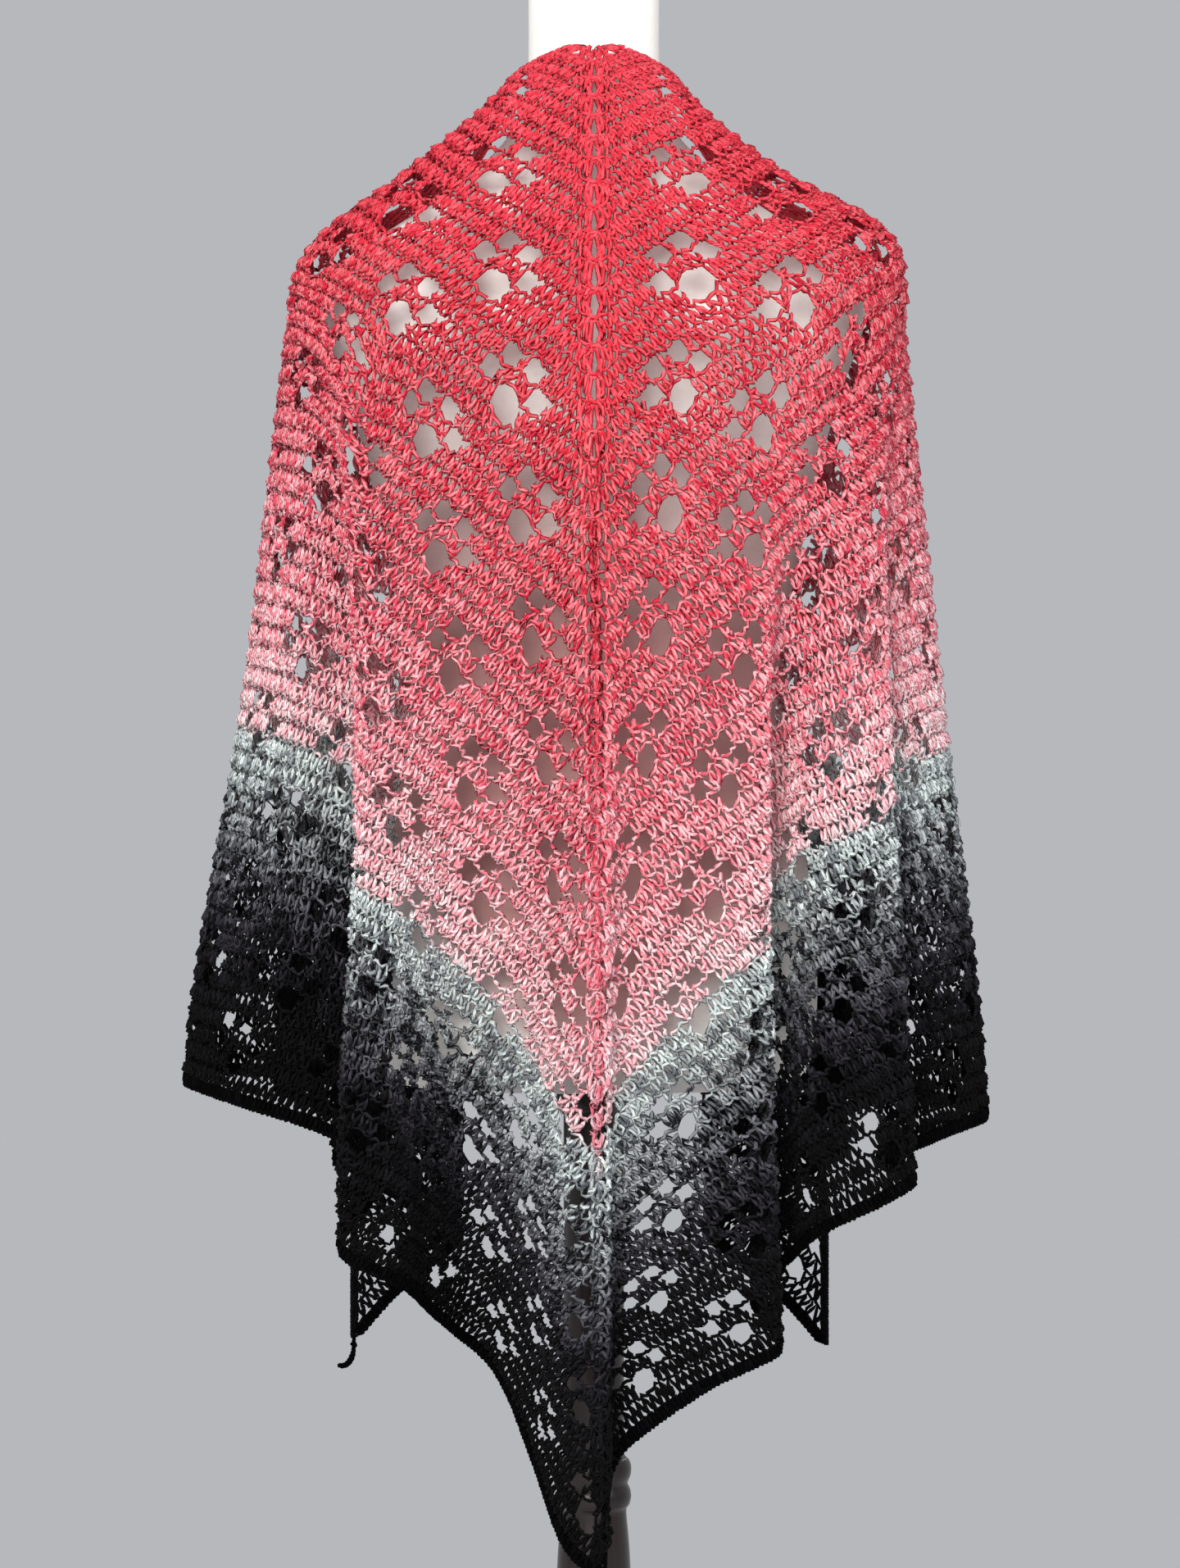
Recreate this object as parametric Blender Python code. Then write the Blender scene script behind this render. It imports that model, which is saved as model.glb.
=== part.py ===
"""A crocheted triangular shawl draped round the shoulders of a limbless dress form on a turned stand.

Metres, +Z up, the floor at z = 0. The shawl's back, with its centre spine, faces -Y; the open front faces +Y.
The cloth is described in its own flat measure (rows counted down from the nape, stitches counted out from
the spine) and laid in space by a table of folds.
"""

import math

import bmesh
import bpy
import numpy as np

# flat measure of the shawl
ROWS = 60                           # rows from the nape to the hem
ROW_HEIGHT = 0.0125
STITCH = 0.0057
HALF_STEP = 2.0 * STITCH            # each wing grows by this much to each side of its own middle in a row
HALF_ANGLE = math.atan2(HALF_STEP, ROW_HEIGHT)
WING_ANGLE = 2.0 * HALF_ANGLE       # between the spine and the top edge
STITCHES_PER_ROW = 4                # a row k has 4k stitches in each wing
WALL = 0.0025                       # thickness of the worked cloth
BORDER_WALL = 0.0042                # thickness of the corded last row
FIRST_ROW = 0.6
WING_LAST_ROW = 59.44
BORDER_FIRST_ROW = 59.55
BORDER_LAST_ROW = 60.25
SPINE_HALF = 0.5                    # half width of the spine, in stitches
SEAM = 0.1                          # clear gap along the spine, in stitches
BORDER_SWELL = 9.0                  # stitches over which the corded edge thickens, away from the spine
NAPE = (0.0, -0.060, 1.458)

# the folds: each row is one station round the wing, from the spine to the top edge
LEVELS = (0.30, 0.50, 0.74, 0.92)   # distance down the cloth from the nape

# each row: name, then x (outward), y (forward) and fall (height + distance) at the four levels
RIGHT_FOLDS = (
    ("spine",         0.000, -0.166, 1.463,    0.003, -0.178, 1.437,    0.006, -0.188, 1.427,    0.007, -0.192, 1.470),
    ("ridge_flank",   0.018, -0.165, 1.463,    0.013, -0.163, 1.440,    0.009, -0.160, 1.434,    0.008, -0.158, 1.484),
    ("panel_in",      0.040, -0.163, 1.466,    0.031, -0.151, 1.444,    0.023, -0.148, 1.441,    0.018, -0.140, 1.494),
    ("panel_mid",     0.073, -0.157, 1.472,    0.069, -0.150, 1.450,    0.064, -0.152, 1.451,    0.056, -0.146, 1.492),
    ("panel_edge",    0.108, -0.146, 1.480,    0.111, -0.148, 1.457,    0.116, -0.149, 1.458,    0.121, -0.151, 1.485),
    ("tuck_1",        0.134, -0.134, 1.488,    0.106, -0.122, 1.462,    0.102, -0.116, 1.466,    0.104, -0.112, 1.488),
    ("valley_1",      0.150, -0.122, 1.494,    0.122, -0.106, 1.466,    0.124, -0.094, 1.474,    0.128, -0.090, 1.490),
    ("pleat_rise",    0.163, -0.109, 1.500,    0.140, -0.124, 1.468,    0.142, -0.126, 1.480,    0.146, -0.130, 1.490),
    ("pleat_top",     0.176, -0.092, 1.508,    0.166, -0.136, 1.470,    0.172, -0.146, 1.484,    0.176, -0.150, 1.490),
    ("pleat_edge",    0.190, -0.070, 1.522,    0.194, -0.118, 1.478,    0.208, -0.122, 1.484,    0.212, -0.122, 1.490),
    ("tuck_2",        0.201, -0.048, 1.536,    0.182, -0.090, 1.486,    0.188, -0.086, 1.480,    0.190, -0.084, 1.486),
    ("side_back",     0.209, -0.024, 1.552,    0.208, -0.066, 1.496,    0.226, -0.060, 1.481,    0.226, -0.060, 1.484),
    ("side",          0.213,  0.004, 1.562,    0.238, -0.014, 1.506,    0.268, -0.004, 1.482,    0.270, -0.004, 1.480),
    ("side_front",    0.208,  0.034, 1.565,    0.230,  0.040, 1.512,    0.252,  0.050, 1.486,    0.254,  0.050, 1.490),
    ("front_tuck",    0.194,  0.056, 1.567,    0.186,  0.062, 1.520,    0.176,  0.056, 1.504,    0.176,  0.056, 1.508),
    ("front_out",     0.184,  0.070, 1.569,    0.206,  0.094, 1.526,    0.216,  0.096, 1.514,    0.196,  0.094, 1.518),
    ("front_dip",     0.172,  0.084, 1.571,    0.168,  0.100, 1.532,    0.152,  0.092, 1.524,    0.148,  0.092, 1.526),
    ("front_rise",    0.158,  0.098, 1.573,    0.168,  0.130, 1.538,    0.184,  0.136, 1.534,    0.180,  0.134, 1.535),
    ("front_mid",     0.145,  0.108, 1.575,    0.132,  0.126, 1.540,    0.126,  0.126, 1.542,    0.120,  0.124, 1.543),
    ("front_in",      0.132,  0.116, 1.576,    0.098,  0.138, 1.548,    0.088,  0.134, 1.550,    0.086,  0.134, 1.552),
    ("front_turn",    0.121,  0.122, 1.578,    0.092,  0.162, 1.556,    0.082,  0.166, 1.559,    0.086,  0.164, 1.561),
    ("front_back",    0.110,  0.127, 1.579,    0.116,  0.178, 1.562,    0.126,  0.186, 1.565,    0.132,  0.184, 1.566),
    ("top_edge",      0.099,  0.131, 1.580,    0.136,  0.172, 1.568,    0.162,  0.186, 1.563,    0.172,  0.182, 1.558),
)
LEFT_FOLDS = (
    ("spine",         0.000, -0.166, 1.463,   -0.003, -0.178, 1.437,   -0.006, -0.188, 1.427,   -0.007, -0.192, 1.470),
    ("ridge_flank",   0.018, -0.165, 1.460,    0.014, -0.168, 1.436,    0.012, -0.187, 1.427,    0.010, -0.190, 1.466),
    ("panel_in",      0.040, -0.163, 1.458,    0.031, -0.154, 1.440,    0.024, -0.172, 1.428,    0.023, -0.174, 1.464),
    ("panel_mid",     0.075, -0.157, 1.464,    0.064, -0.142, 1.448,    0.048, -0.132, 1.440,    0.042, -0.126, 1.464),
    ("valley",        0.110, -0.146, 1.475,    0.096, -0.146, 1.453,    0.084, -0.088, 1.452,    0.072, -0.072, 1.474),
    ("pleat_rise",    0.134, -0.134, 1.484,    0.120, -0.162, 1.458,    0.110, -0.124, 1.460,    0.102, -0.096, 1.478),
    ("pleat_top",     0.151, -0.120, 1.490,    0.140, -0.168, 1.462,    0.130, -0.168, 1.460,    0.126, -0.156, 1.478),
    ("pleat_edge",    0.166, -0.104, 1.522,    0.153, -0.150, 1.468,    0.164, -0.160, 1.464,    0.162, -0.154, 1.478),
    ("tuck",          0.178, -0.086, 1.530,    0.134, -0.118, 1.486,    0.136, -0.102, 1.484,    0.136, -0.100, 1.488),
    ("side_in",       0.188, -0.067, 1.542,    0.156, -0.098, 1.504,    0.172, -0.088, 1.497,    0.172, -0.084, 1.498),
    ("side_back",     0.200, -0.046, 1.552,    0.198, -0.082, 1.514,    0.226, -0.076, 1.503,    0.228, -0.074, 1.504),
    ("side_turn",     0.208, -0.022, 1.558,    0.228, -0.046, 1.518,    0.262, -0.046, 1.505,    0.264, -0.044, 1.506),
    ("side",          0.210,  0.004, 1.562,    0.239,  0.000, 1.520,    0.279, -0.002, 1.506,    0.280, -0.002, 1.507),
    ("side_front",    0.203,  0.032, 1.565,    0.226,  0.046, 1.524,    0.256,  0.044, 1.510,    0.256,  0.044, 1.511),
    ("front_tuck",    0.193,  0.054, 1.567,    0.180,  0.062, 1.528,    0.178,  0.050, 1.517,    0.180,  0.052, 1.519),
    ("front_out",     0.183,  0.069, 1.569,    0.200,  0.092, 1.532,    0.226,  0.088, 1.525,    0.224,  0.088, 1.527),
    ("front_dip",     0.171,  0.084, 1.571,    0.164,  0.100, 1.530,    0.160,  0.090, 1.532,    0.158,  0.092, 1.534),
    ("front_rise",    0.158,  0.098, 1.573,    0.166,  0.130, 1.536,    0.190,  0.130, 1.539,    0.186,  0.130, 1.541),
    ("front_mid",     0.145,  0.108, 1.575,    0.130,  0.126, 1.543,    0.134,  0.124, 1.546,    0.130,  0.122, 1.548),
    ("front_in",      0.132,  0.116, 1.576,    0.098,  0.138, 1.550,    0.100,  0.134, 1.554,    0.100,  0.132, 1.556),
    ("front_turn",    0.121,  0.122, 1.578,    0.092,  0.162, 1.558,    0.096,  0.166, 1.562,    0.102,  0.164, 1.564),
    ("front_back",    0.110,  0.127, 1.579,    0.116,  0.178, 1.564,    0.134,  0.186, 1.568,    0.140,  0.184, 1.570),
    ("top_edge",      0.100,  0.131, 1.580,    0.136,  0.172, 1.570,    0.166,  0.186, 1.567,    0.178,  0.182, 1.563),
)
# over the neck and shoulders: share of the wing, then x, y, z at one distance down from the nape
CROWN_REACH = 0.05
CROWN = (
    (0.00, 0.000, -0.093, 1.420),
    (0.30, 0.021, -0.088, 1.422),
    (0.60, 0.038, -0.070, 1.430),
    (0.82, 0.045, -0.052, 1.437),
    (1.00, 0.046, -0.036, 1.442),
)
SHOULDER_REACH = 0.15
SHOULDER = (
    (0.00, 0.000, -0.140, 1.327),
    (0.24, 0.055, -0.126, 1.328),
    (0.42, 0.097, -0.094, 1.345),
    (0.58, 0.124, -0.046, 1.369),
    (0.76, 0.117, 0.008, 1.383),
    (1.00, 0.076, 0.044, 1.402),
)
YOKE_REACH = 0.225
RIGHT_YOKE = (
    (0.00, 0.000, -0.155, 1.245),
    (0.16, 0.061, -0.149, 1.247),
    (0.34, 0.133, -0.122, 1.276),
    (0.50, 0.176, -0.078, 1.305),
    (0.64, 0.201, -0.030, 1.326),
    (0.78, 0.197, 0.015, 1.334),
    (0.90, 0.158, 0.052, 1.336),
    (1.00, 0.119, 0.078, 1.342),
)
LEFT_YOKE = (
    (0.00, 0.000, -0.155, 1.245),
    (0.16, 0.060, -0.149, 1.246),
    (0.34, 0.125, -0.122, 1.271),
    (0.50, 0.167, -0.080, 1.297),
    (0.64, 0.193, -0.032, 1.317),
    (0.78, 0.188, 0.015, 1.326),
    (0.90, 0.155, 0.052, 1.331),
    (1.00, 0.118, 0.078, 1.340),
)
SECTION = 161                       # points round a wing in the laid-out cloth
PIN_BACK = 10                       # stations up to here are set by the cloth measured from the spine
PIN_FRONT = 16                      # and from here on by the cloth measured from the top edge
ANGLES = np.linspace(0.0, WING_ANGLE, SECTION)
REACH = np.concatenate([np.linspace(0.0, 0.30, 25)[:-1], np.linspace(0.30, 1.03, 60)])

# rows and columns of the cloth's faceted wall
WALL_ROWS = (0.6, 3.0, 6.0, 9.5, 13.0, 16.5, 20.0, 24.0, 28.5, 33.0, 37.5, 42.0, 46.5, 51.0, 55.5, WING_LAST_ROW)
COLUMNS_PER_STATION = 2.4
BORDER_PROFILE = (                  # row, thickness of the corded edge there
    (BORDER_FIRST_ROW, 0.0016),
    (59.72, BORDER_WALL),
    (60.02, BORDER_WALL),
    (BORDER_LAST_ROW, 0.0020),
)

# the end of yarn left at the tip of the left wing: offset from the tip (x, y, z), radius
YARN_END = (
    (0.0008, 0.000, -0.0038, 0.0016),
    (-0.0004, 0.001, -0.0085, 0.0022),
    (-0.0030, 0.001, -0.0130, 0.0022),
    (-0.0070, 0.000, -0.0150, 0.0020),
    (-0.0110, -0.001, -0.0140, 0.0015),
)

# the dress form: height, half width, half depth, forward shift of the section, squareness
FORM_SECTIONS = (
    (0.7510, 0.118, 0.070, 0.002, 2.2),
    (0.7530, 0.132, 0.081, 0.002, 2.2),
    (0.7590, 0.143, 0.089, 0.002, 2.2),
    (0.7700, 0.149, 0.094, 0.002, 2.2),
    (0.8000, 0.153, 0.097, 0.002, 2.3),
    (0.8400, 0.153, 0.096, 0.002, 2.3),
    (0.8800, 0.150, 0.093, 0.002, 2.3),
    (0.9200, 0.143, 0.089, 0.002, 2.3),
    (0.9600, 0.132, 0.085, 0.003, 2.3),
    (1.0000, 0.125, 0.083, 0.004, 2.3),
    (1.0400, 0.127, 0.086, 0.006, 2.3),
    (1.0800, 0.134, 0.091, 0.008, 2.3),
    (1.1200, 0.143, 0.097, 0.010, 2.3),
    (1.1600, 0.152, 0.102, 0.010, 2.3),
    (1.2000, 0.162, 0.104, 0.008, 2.3),
    (1.2300, 0.171, 0.102, 0.004, 2.3),
    (1.2550, 0.180, 0.098, 0.000, 2.3),
    (1.2750, 0.186, 0.092, -0.004, 2.3),
    (1.2930, 0.186, 0.086, -0.006, 2.3),
    (1.3080, 0.178, 0.081, -0.008, 2.3),
    (1.3220, 0.161, 0.076, -0.010, 2.25),
    (1.3360, 0.139, 0.071, -0.010, 2.2),
    (1.3500, 0.117, 0.066, -0.010, 2.15),
    (1.3640, 0.097, 0.061, -0.009, 2.1),
    (1.3780, 0.080, 0.056, -0.008, 2.05),
    (1.3920, 0.066, 0.051, -0.006, 2.0),
    (1.4060, 0.0555, 0.0465, -0.004, 2.0),
    (1.4220, 0.0490, 0.0435, -0.003, 2.0),
    (1.4400, 0.0458, 0.0425, -0.002, 2.0),
    (1.4600, 0.0448, 0.0425, -0.001, 2.0),
    (1.4850, 0.0448, 0.0428, 0.000, 2.0),
    (1.5020, 0.0445, 0.0425, 0.000, 2.0),
    (1.5100, 0.0410, 0.0392, 0.000, 2.0),
    (1.5150, 0.0330, 0.0315, 0.000, 2.0),
    (1.5180, 0.0180, 0.0172, 0.000, 2.0),
)
FORM_TOP = 1.5190
FORM_UNDERSIDE = 0.7500
FORM_SIDES = 56

# the turned post: height, radius
POST_BOTTOM = 0.0223
POST_TOP = 0.7497
POST_PROFILE = (
    (0.0223, 0.0330),
    (0.0300, 0.0345),
    (0.0400, 0.0335),
    (0.0500, 0.0270),
    (0.0580, 0.0235),
    (0.0660, 0.0240),
    (0.0730, 0.0285),
    (0.0800, 0.0300),
    (0.0870, 0.0285),
    (0.0940, 0.0235),
    (0.1200, 0.0225),
    (0.1800, 0.0235),
    (0.2500, 0.0250),
    (0.3200, 0.0260),
    (0.3800, 0.0262),
    (0.4200, 0.0252),
    (0.4400, 0.0240),
    (0.4550, 0.0226),
    (0.4610, 0.0226),
    (0.4640, 0.0246),
    (0.4690, 0.0257),
    (0.4740, 0.0250),
    (0.4775, 0.0234),
    (0.4800, 0.0238),
    (0.4840, 0.0254),
    (0.4890, 0.0258),
    (0.4935, 0.0246),
    (0.4960, 0.0222),
    (0.5000, 0.0210),
    (0.6000, 0.0208),
    (0.7200, 0.0208),
    (0.7330, 0.0215),
    (0.7400, 0.0250),
    (0.7470, 0.0260),
    (0.7497, 0.0258),
)
POST_SIDES = 40

# the round foot: height, radius
BASE_PROFILE = (
    (0.0000, 0.1440),
    (0.0020, 0.1480),
    (0.0060, 0.1500),
    (0.0110, 0.1500),
    (0.0150, 0.1480),
    (0.0165, 0.1440),
    (0.0172, 0.1380),
    (0.0200, 0.0600),
    (0.0205, 0.0420),
    (0.0220, 0.0400),
)
BASE_SIDES = 72

COLOURS = {                         # base colour, roughness
    "cloth": ((0.72, 0.17, 0.20), 0.85),
    "spine": ((0.74, 0.20, 0.23), 0.85),
    "border": ((0.012, 0.012, 0.014), 0.85),
    "form": ((0.78, 0.76, 0.74), 0.60),
    "wood": ((0.020, 0.014, 0.012), 0.30),
}


def through(t, xs, ys):
    """A smooth curve (Hermite, chord slopes) through (xs, ys) at t; flat past the ends."""
    xs = np.asarray(xs, float); ys = np.asarray(ys, float)
    slope = np.gradient(ys, xs, axis=0)
    t = np.clip(t, xs[0], xs[-1])
    i = np.clip(np.searchsorted(xs, t, side="right") - 1, 0, len(xs) - 2)
    h = xs[i + 1] - xs[i]
    u = (t - xs[i]) / h
    if ys.ndim > 1:
        shape = (-1,) + (1,) * (ys.ndim - 1) if np.ndim(t) else ()
        u = np.reshape(u, shape) if shape else u
        h = np.reshape(h, shape) if shape else h
    return ((1 + 2 * u) * (1 - u) ** 2 * ys[i] + u * (1 - u) ** 2 * h * slope[i]
            + u * u * (3 - 2 * u) * ys[i + 1] + u * u * (u - 1) * h * slope[i + 1])


def section(folds, r):
    """(angles, points) of the cloth at one distance r from the nape, r at or past the first level."""
    rows = np.array([row[1:] for row in folds]).reshape(len(folds), len(LEVELS), 3)
    at = through(r, LEVELS, rows.transpose(1, 0, 2))
    knots = np.arange(len(folds), dtype=float)
    fine = np.linspace(0, len(folds) - 1, 12 * (len(folds) - 1) + 1)
    line = through(fine, knots, at)
    step = np.hypot(np.diff(line[:, 0]), np.diff(line[:, 1]))
    arc = np.concatenate([[0.0], np.cumsum(step)])
    pin_a = 12 * PIN_BACK
    pin_b = 12 * PIN_FRONT
    back = arc / r
    front = WING_ANGLE - (arc[-1] - arc) / r
    mix = np.clip((arc - arc[pin_a]) / (arc[pin_b] - arc[pin_a]), 0.0, 1.0)
    angle = back + (front - back) * mix
    return angle, arc, line


def fan(folds, yoke):
    """Points of one wing over REACH x ANGLES, x outward."""
    out = np.zeros((len(REACH), SECTION, 3))
    for n, r in enumerate(REACH):
        if r < LEVELS[0]:
            continue
        angle, arc, line = section(folds, r)
        for c in range(3):
            out[n, :, c] = np.interp(ANGLES, angle, line[:, c])
        out[n, :, 2] -= r
    first = int(np.searchsorted(REACH, LEVELS[0]))
    share = ANGLES / WING_ANGLE
    rings = [np.repeat(np.array([NAPE]), SECTION, axis=0)]
    for table in (CROWN, SHOULDER, yoke):
        rows = np.array(table)
        rings.append(through(share, rows[:, 0], rows[:, 1:]))
    more = (first, first + 3, first + 6)
    rings += [out[n] for n in more]
    reach = [0.0, CROWN_REACH, SHOULDER_REACH, YOKE_REACH] + [REACH[n] for n in more]
    out[:first] = through(REACH[:first], reach, np.array(rings))
    return out


RIGHT = fan(RIGHT_FOLDS, RIGHT_YOKE)
LEFT = fan(LEFT_FOLDS, LEFT_YOKE)


def place(side, row, stitch):
    """World point of the cloth at a row and a stitch counted from the spine; side is +1 right, -1 left."""
    row = np.asarray(row, float); stitch = np.asarray(stitch, float)
    along = -HALF_STEP * row + STITCH * stitch
    down = ROW_HEIGHT * row
    r = np.hypot(along, down)
    phi = HALF_ANGLE + np.arctan2(along, np.maximum(down, 1e-9))
    grid = RIGHT if side > 0 else LEFT
    i = np.clip(np.searchsorted(REACH, r, side="right") - 1, 0, len(REACH) - 2)
    u = (r - REACH[i]) / (REACH[i + 1] - REACH[i])
    f = np.clip(phi / WING_ANGLE, 0, 1) * (SECTION - 1)
    j = np.clip(f.astype(int), 0, SECTION - 2)
    v = (f - j)[..., None]; u = u[..., None]
    p = ((1 - u) * ((1 - v) * grid[i, j] + v * grid[i, j + 1]) + u * ((1 - v) * grid[i + 1, j] + v * grid[i + 1, j + 1]))
    p = p.copy(); p[..., 0] *= side
    return p


def facing(side, row, stitch):
    """Unit normal of the cloth, away from the form."""
    row = np.asarray(row, float)
    stitch = np.asarray(stitch, float)
    last = STITCHES_PER_ROW * row
    step = 0.35
    low = np.clip(stitch - step, 0.0, last)
    high = np.clip(stitch + step, 0.0, last)
    across = place(side, row, high) - place(side, row, low)
    share = stitch / np.maximum(last, 1e-9)
    up = np.maximum(row - step, 0.2)
    down = row + step
    along = place(side, down, share * STITCHES_PER_ROW * down) - place(side, up, share * STITCHES_PER_ROW * up)
    out = np.cross(across, along) * side
    return out / np.maximum(np.linalg.norm(out, axis=-1, keepdims=True), 1e-12)


def material(name):
    colour, rough = COLOURS[name]
    made = bpy.data.materials.get(name) or bpy.data.materials.new(name)
    made.use_nodes = True
    shader = made.node_tree.nodes["Principled BSDF"]
    shader.inputs["Base Color"].default_value = (*colour, 1.0)
    shader.inputs["Roughness"].default_value = rough
    made.diffuse_color = (*colour, 1.0)
    return made


def body(name, points, faces, look):
    """A named closed solid from points and faces, turned to face outward."""
    points = np.asarray(points, float)
    volume = 0.0
    for face in faces:
        a = points[face[0]]
        for i in range(1, len(face) - 1):
            volume += float(np.dot(a, np.cross(points[face[i]], points[face[i + 1]])))
    if volume < 0:
        faces = [tuple(reversed(face)) for face in faces]
    mesh = bpy.data.meshes.new(name)
    mesh.from_pydata([tuple(p) for p in points], [], [tuple(face) for face in faces])
    mesh.validate()
    mesh.materials.append(material(look))
    made = bpy.data.objects.new(name, mesh)
    bpy.context.scene.collection.objects.link(made)
    work = bmesh.new()
    work.from_mesh(mesh)
    bmesh.ops.triangulate(work, faces=[f for f in work.faces if len(f.verts) > 3])
    work.to_mesh(mesh)
    work.free()
    return made


def wall(name, middle, normals, half, look):
    """A closed wall from a grid of middle points, their normals and half thicknesses."""
    rows, columns = middle.shape[:2]
    half = np.broadcast_to(half, (rows, columns))[..., None]
    outer = middle + normals * half
    inner = middle - normals * half
    points = np.concatenate([outer.reshape(-1, 3), inner.reshape(-1, 3)])
    back = rows * columns

    def at(i, j):
        return i * columns + j

    faces = []
    for i in range(rows - 1):
        for j in range(columns - 1):
            faces.append((at(i, j), at(i, j + 1), at(i + 1, j + 1), at(i + 1, j)))
            faces.append((back + at(i, j), back + at(i + 1, j), back + at(i + 1, j + 1), back + at(i, j + 1)))
    for j in range(columns - 1):
        faces.append((at(0, j + 1), at(0, j), back + at(0, j), back + at(0, j + 1)))
        faces.append((at(rows - 1, j), at(rows - 1, j + 1), back + at(rows - 1, j + 1), back + at(rows - 1, j)))
    for i in range(rows - 1):
        faces.append((at(i, 0), at(i + 1, 0), back + at(i + 1, 0), back + at(i, 0)))
        faces.append((at(i + 1, columns - 1), at(i, columns - 1), back + at(i, columns - 1), back + at(i + 1, columns - 1)))
    return body(name, points, faces, look)


def columns(folds):
    """Share of the wing at each column of the wall, over REACH: the columns run along the folds."""
    stations = len(folds) - 1
    at = np.linspace(0.0, stations, int(round(COLUMNS_PER_STATION * stations)) + 1)
    table = np.zeros((len(REACH), len(at)))
    for n, r in enumerate(REACH):
        angle, arc, line = section(folds, max(r, LEVELS[0]))
        table[n] = np.interp(at, np.linspace(0.0, stations, len(angle)), angle / WING_ANGLE)
    table[:, 0] = 0.0
    table[:, -1] = 1.0
    return table


def grid(folds, rows):
    """(rows, stitches) of the wall's points, from the seam at the spine to the top edge."""
    table = columns(folds)
    first = SPINE_HALF + SEAM
    rows = np.repeat(np.array(rows, float)[:, None], table.shape[1], axis=1)
    share = np.repeat(np.linspace(0.0, 1.0, table.shape[1])[None, :], len(rows), axis=0)
    for _ in range(8):
        along = rows * ROW_HEIGHT * np.tan(share * WING_ANGLE - HALF_ANGLE)
        reach = np.hypot(along, rows * ROW_HEIGHT)
        for c in range(table.shape[1]):
            share[:, c] = np.interp(reach[:, c], REACH, table[:, c])
    along = rows * ROW_HEIGHT * np.tan(share * WING_ANGLE - HALF_ANGLE)
    last = STITCHES_PER_ROW * rows
    stitch = (along + HALF_STEP * rows) / STITCH
    return rows, first + (last - first) * np.clip(stitch / last, 0.0, 1.0)


def wing(name, side, folds):
    rows, stitch = grid(folds, WALL_ROWS)
    return wall(name, place(side, rows, stitch), facing(side, rows, stitch), WALL / 2, "cloth")


def border(name, side, folds):
    rows, stitch = grid(folds, [row for row, _ in BORDER_PROFILE])
    swell = np.clip((stitch - SPINE_HALF - SEAM) / BORDER_SWELL, 0.0, 1.0)
    half = np.array([[thick / 2] for _, thick in BORDER_PROFILE]) * swell + WALL / 2 * (1.0 - swell)
    return wall(name, place(side, rows, stitch), facing(side, rows, stitch), half, "border")


def spine(name):
    rows = np.array(WALL_ROWS[:-1] + (BORDER_LAST_ROW,))
    edge = np.full(len(rows), SPINE_HALF)
    zero = np.zeros(len(rows))
    left = place(-1, rows, edge)
    right = place(1, rows, edge)
    middle = 0.5 * (place(-1, rows, zero) + place(1, rows, zero))
    out_left = facing(-1, rows, edge)
    out_right = facing(1, rows, edge)
    out_middle = out_left + out_right
    out_middle /= np.linalg.norm(out_middle, axis=1)[:, None]
    return wall(name, np.stack([left, middle, right], 1), np.stack([out_left, out_middle, out_right], 1), WALL / 2, "spine")


def tube(name, points, radii, sides, look):
    """A round cord through points, closed at both ends."""
    points = np.array(points, float)
    heading = np.gradient(points, axis=0)
    heading /= np.linalg.norm(heading, axis=1)[:, None]
    ring = np.array([0.0, 1.0, 0.0])
    verts = []
    for point, way, radius in zip(points, heading, radii):
        u = np.cross(way, ring)
        u /= np.linalg.norm(u)
        v = np.cross(way, u)
        for s in range(sides):
            turn = 2 * math.pi * s / sides
            verts.append(point + radius * (math.cos(turn) * u + math.sin(turn) * v))
    faces = []
    for n in range(len(points) - 1):
        for s in range(sides):
            t = (s + 1) % sides
            faces.append((n * sides + s, n * sides + t, (n + 1) * sides + t, (n + 1) * sides + s))
    faces.append(tuple(range(sides - 1, -1, -1)))
    faces.append(tuple((len(points) - 1) * sides + s for s in range(sides)))
    return body(name, verts, faces, look)


def turned(name, profile, sides, look):
    """A body of revolution about the z axis, with flat ends."""
    verts = []
    for height, radius in profile:
        for s in range(sides):
            turn = 2 * math.pi * s / sides
            verts.append((radius * math.cos(turn), radius * math.sin(turn), height))
    faces = []
    for n in range(len(profile) - 1):
        for s in range(sides):
            t = (s + 1) % sides
            faces.append((n * sides + s, n * sides + t, (n + 1) * sides + t, (n + 1) * sides + s))
    faces.append(tuple(range(sides - 1, -1, -1)))
    faces.append(tuple((len(profile) - 1) * sides + s for s in range(sides)))
    return body(name, verts, faces, look)


def dress_form(name):
    """The limbless torso with its neck: rounded sections from the underside to the domed top."""
    verts = []
    for height, wide, deep, shift, square in FORM_SECTIONS:
        for s in range(FORM_SIDES):
            turn = 2 * math.pi * s / FORM_SIDES
            c, n = math.cos(turn), math.sin(turn)
            verts.append((wide * math.copysign(abs(c) ** (2 / square), c),
                          shift + deep * math.copysign(abs(n) ** (2 / square), n), height))
    faces = []
    for n in range(len(FORM_SECTIONS) - 1):
        for s in range(FORM_SIDES):
            t = (s + 1) % FORM_SIDES
            faces.append((n * FORM_SIDES + s, n * FORM_SIDES + t, (n + 1) * FORM_SIDES + t, (n + 1) * FORM_SIDES + s))
    low = len(verts)
    verts.append((0.0, FORM_SECTIONS[0][3], FORM_UNDERSIDE))
    verts.append((0.0, FORM_SECTIONS[-1][3], FORM_TOP))
    top = (len(FORM_SECTIONS) - 1) * FORM_SIDES
    for s in range(FORM_SIDES):
        t = (s + 1) % FORM_SIDES
        faces.append((t, s, low))
        faces.append((top + s, top + t, low + 1))
    return body(name, verts, faces, "form")


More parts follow.
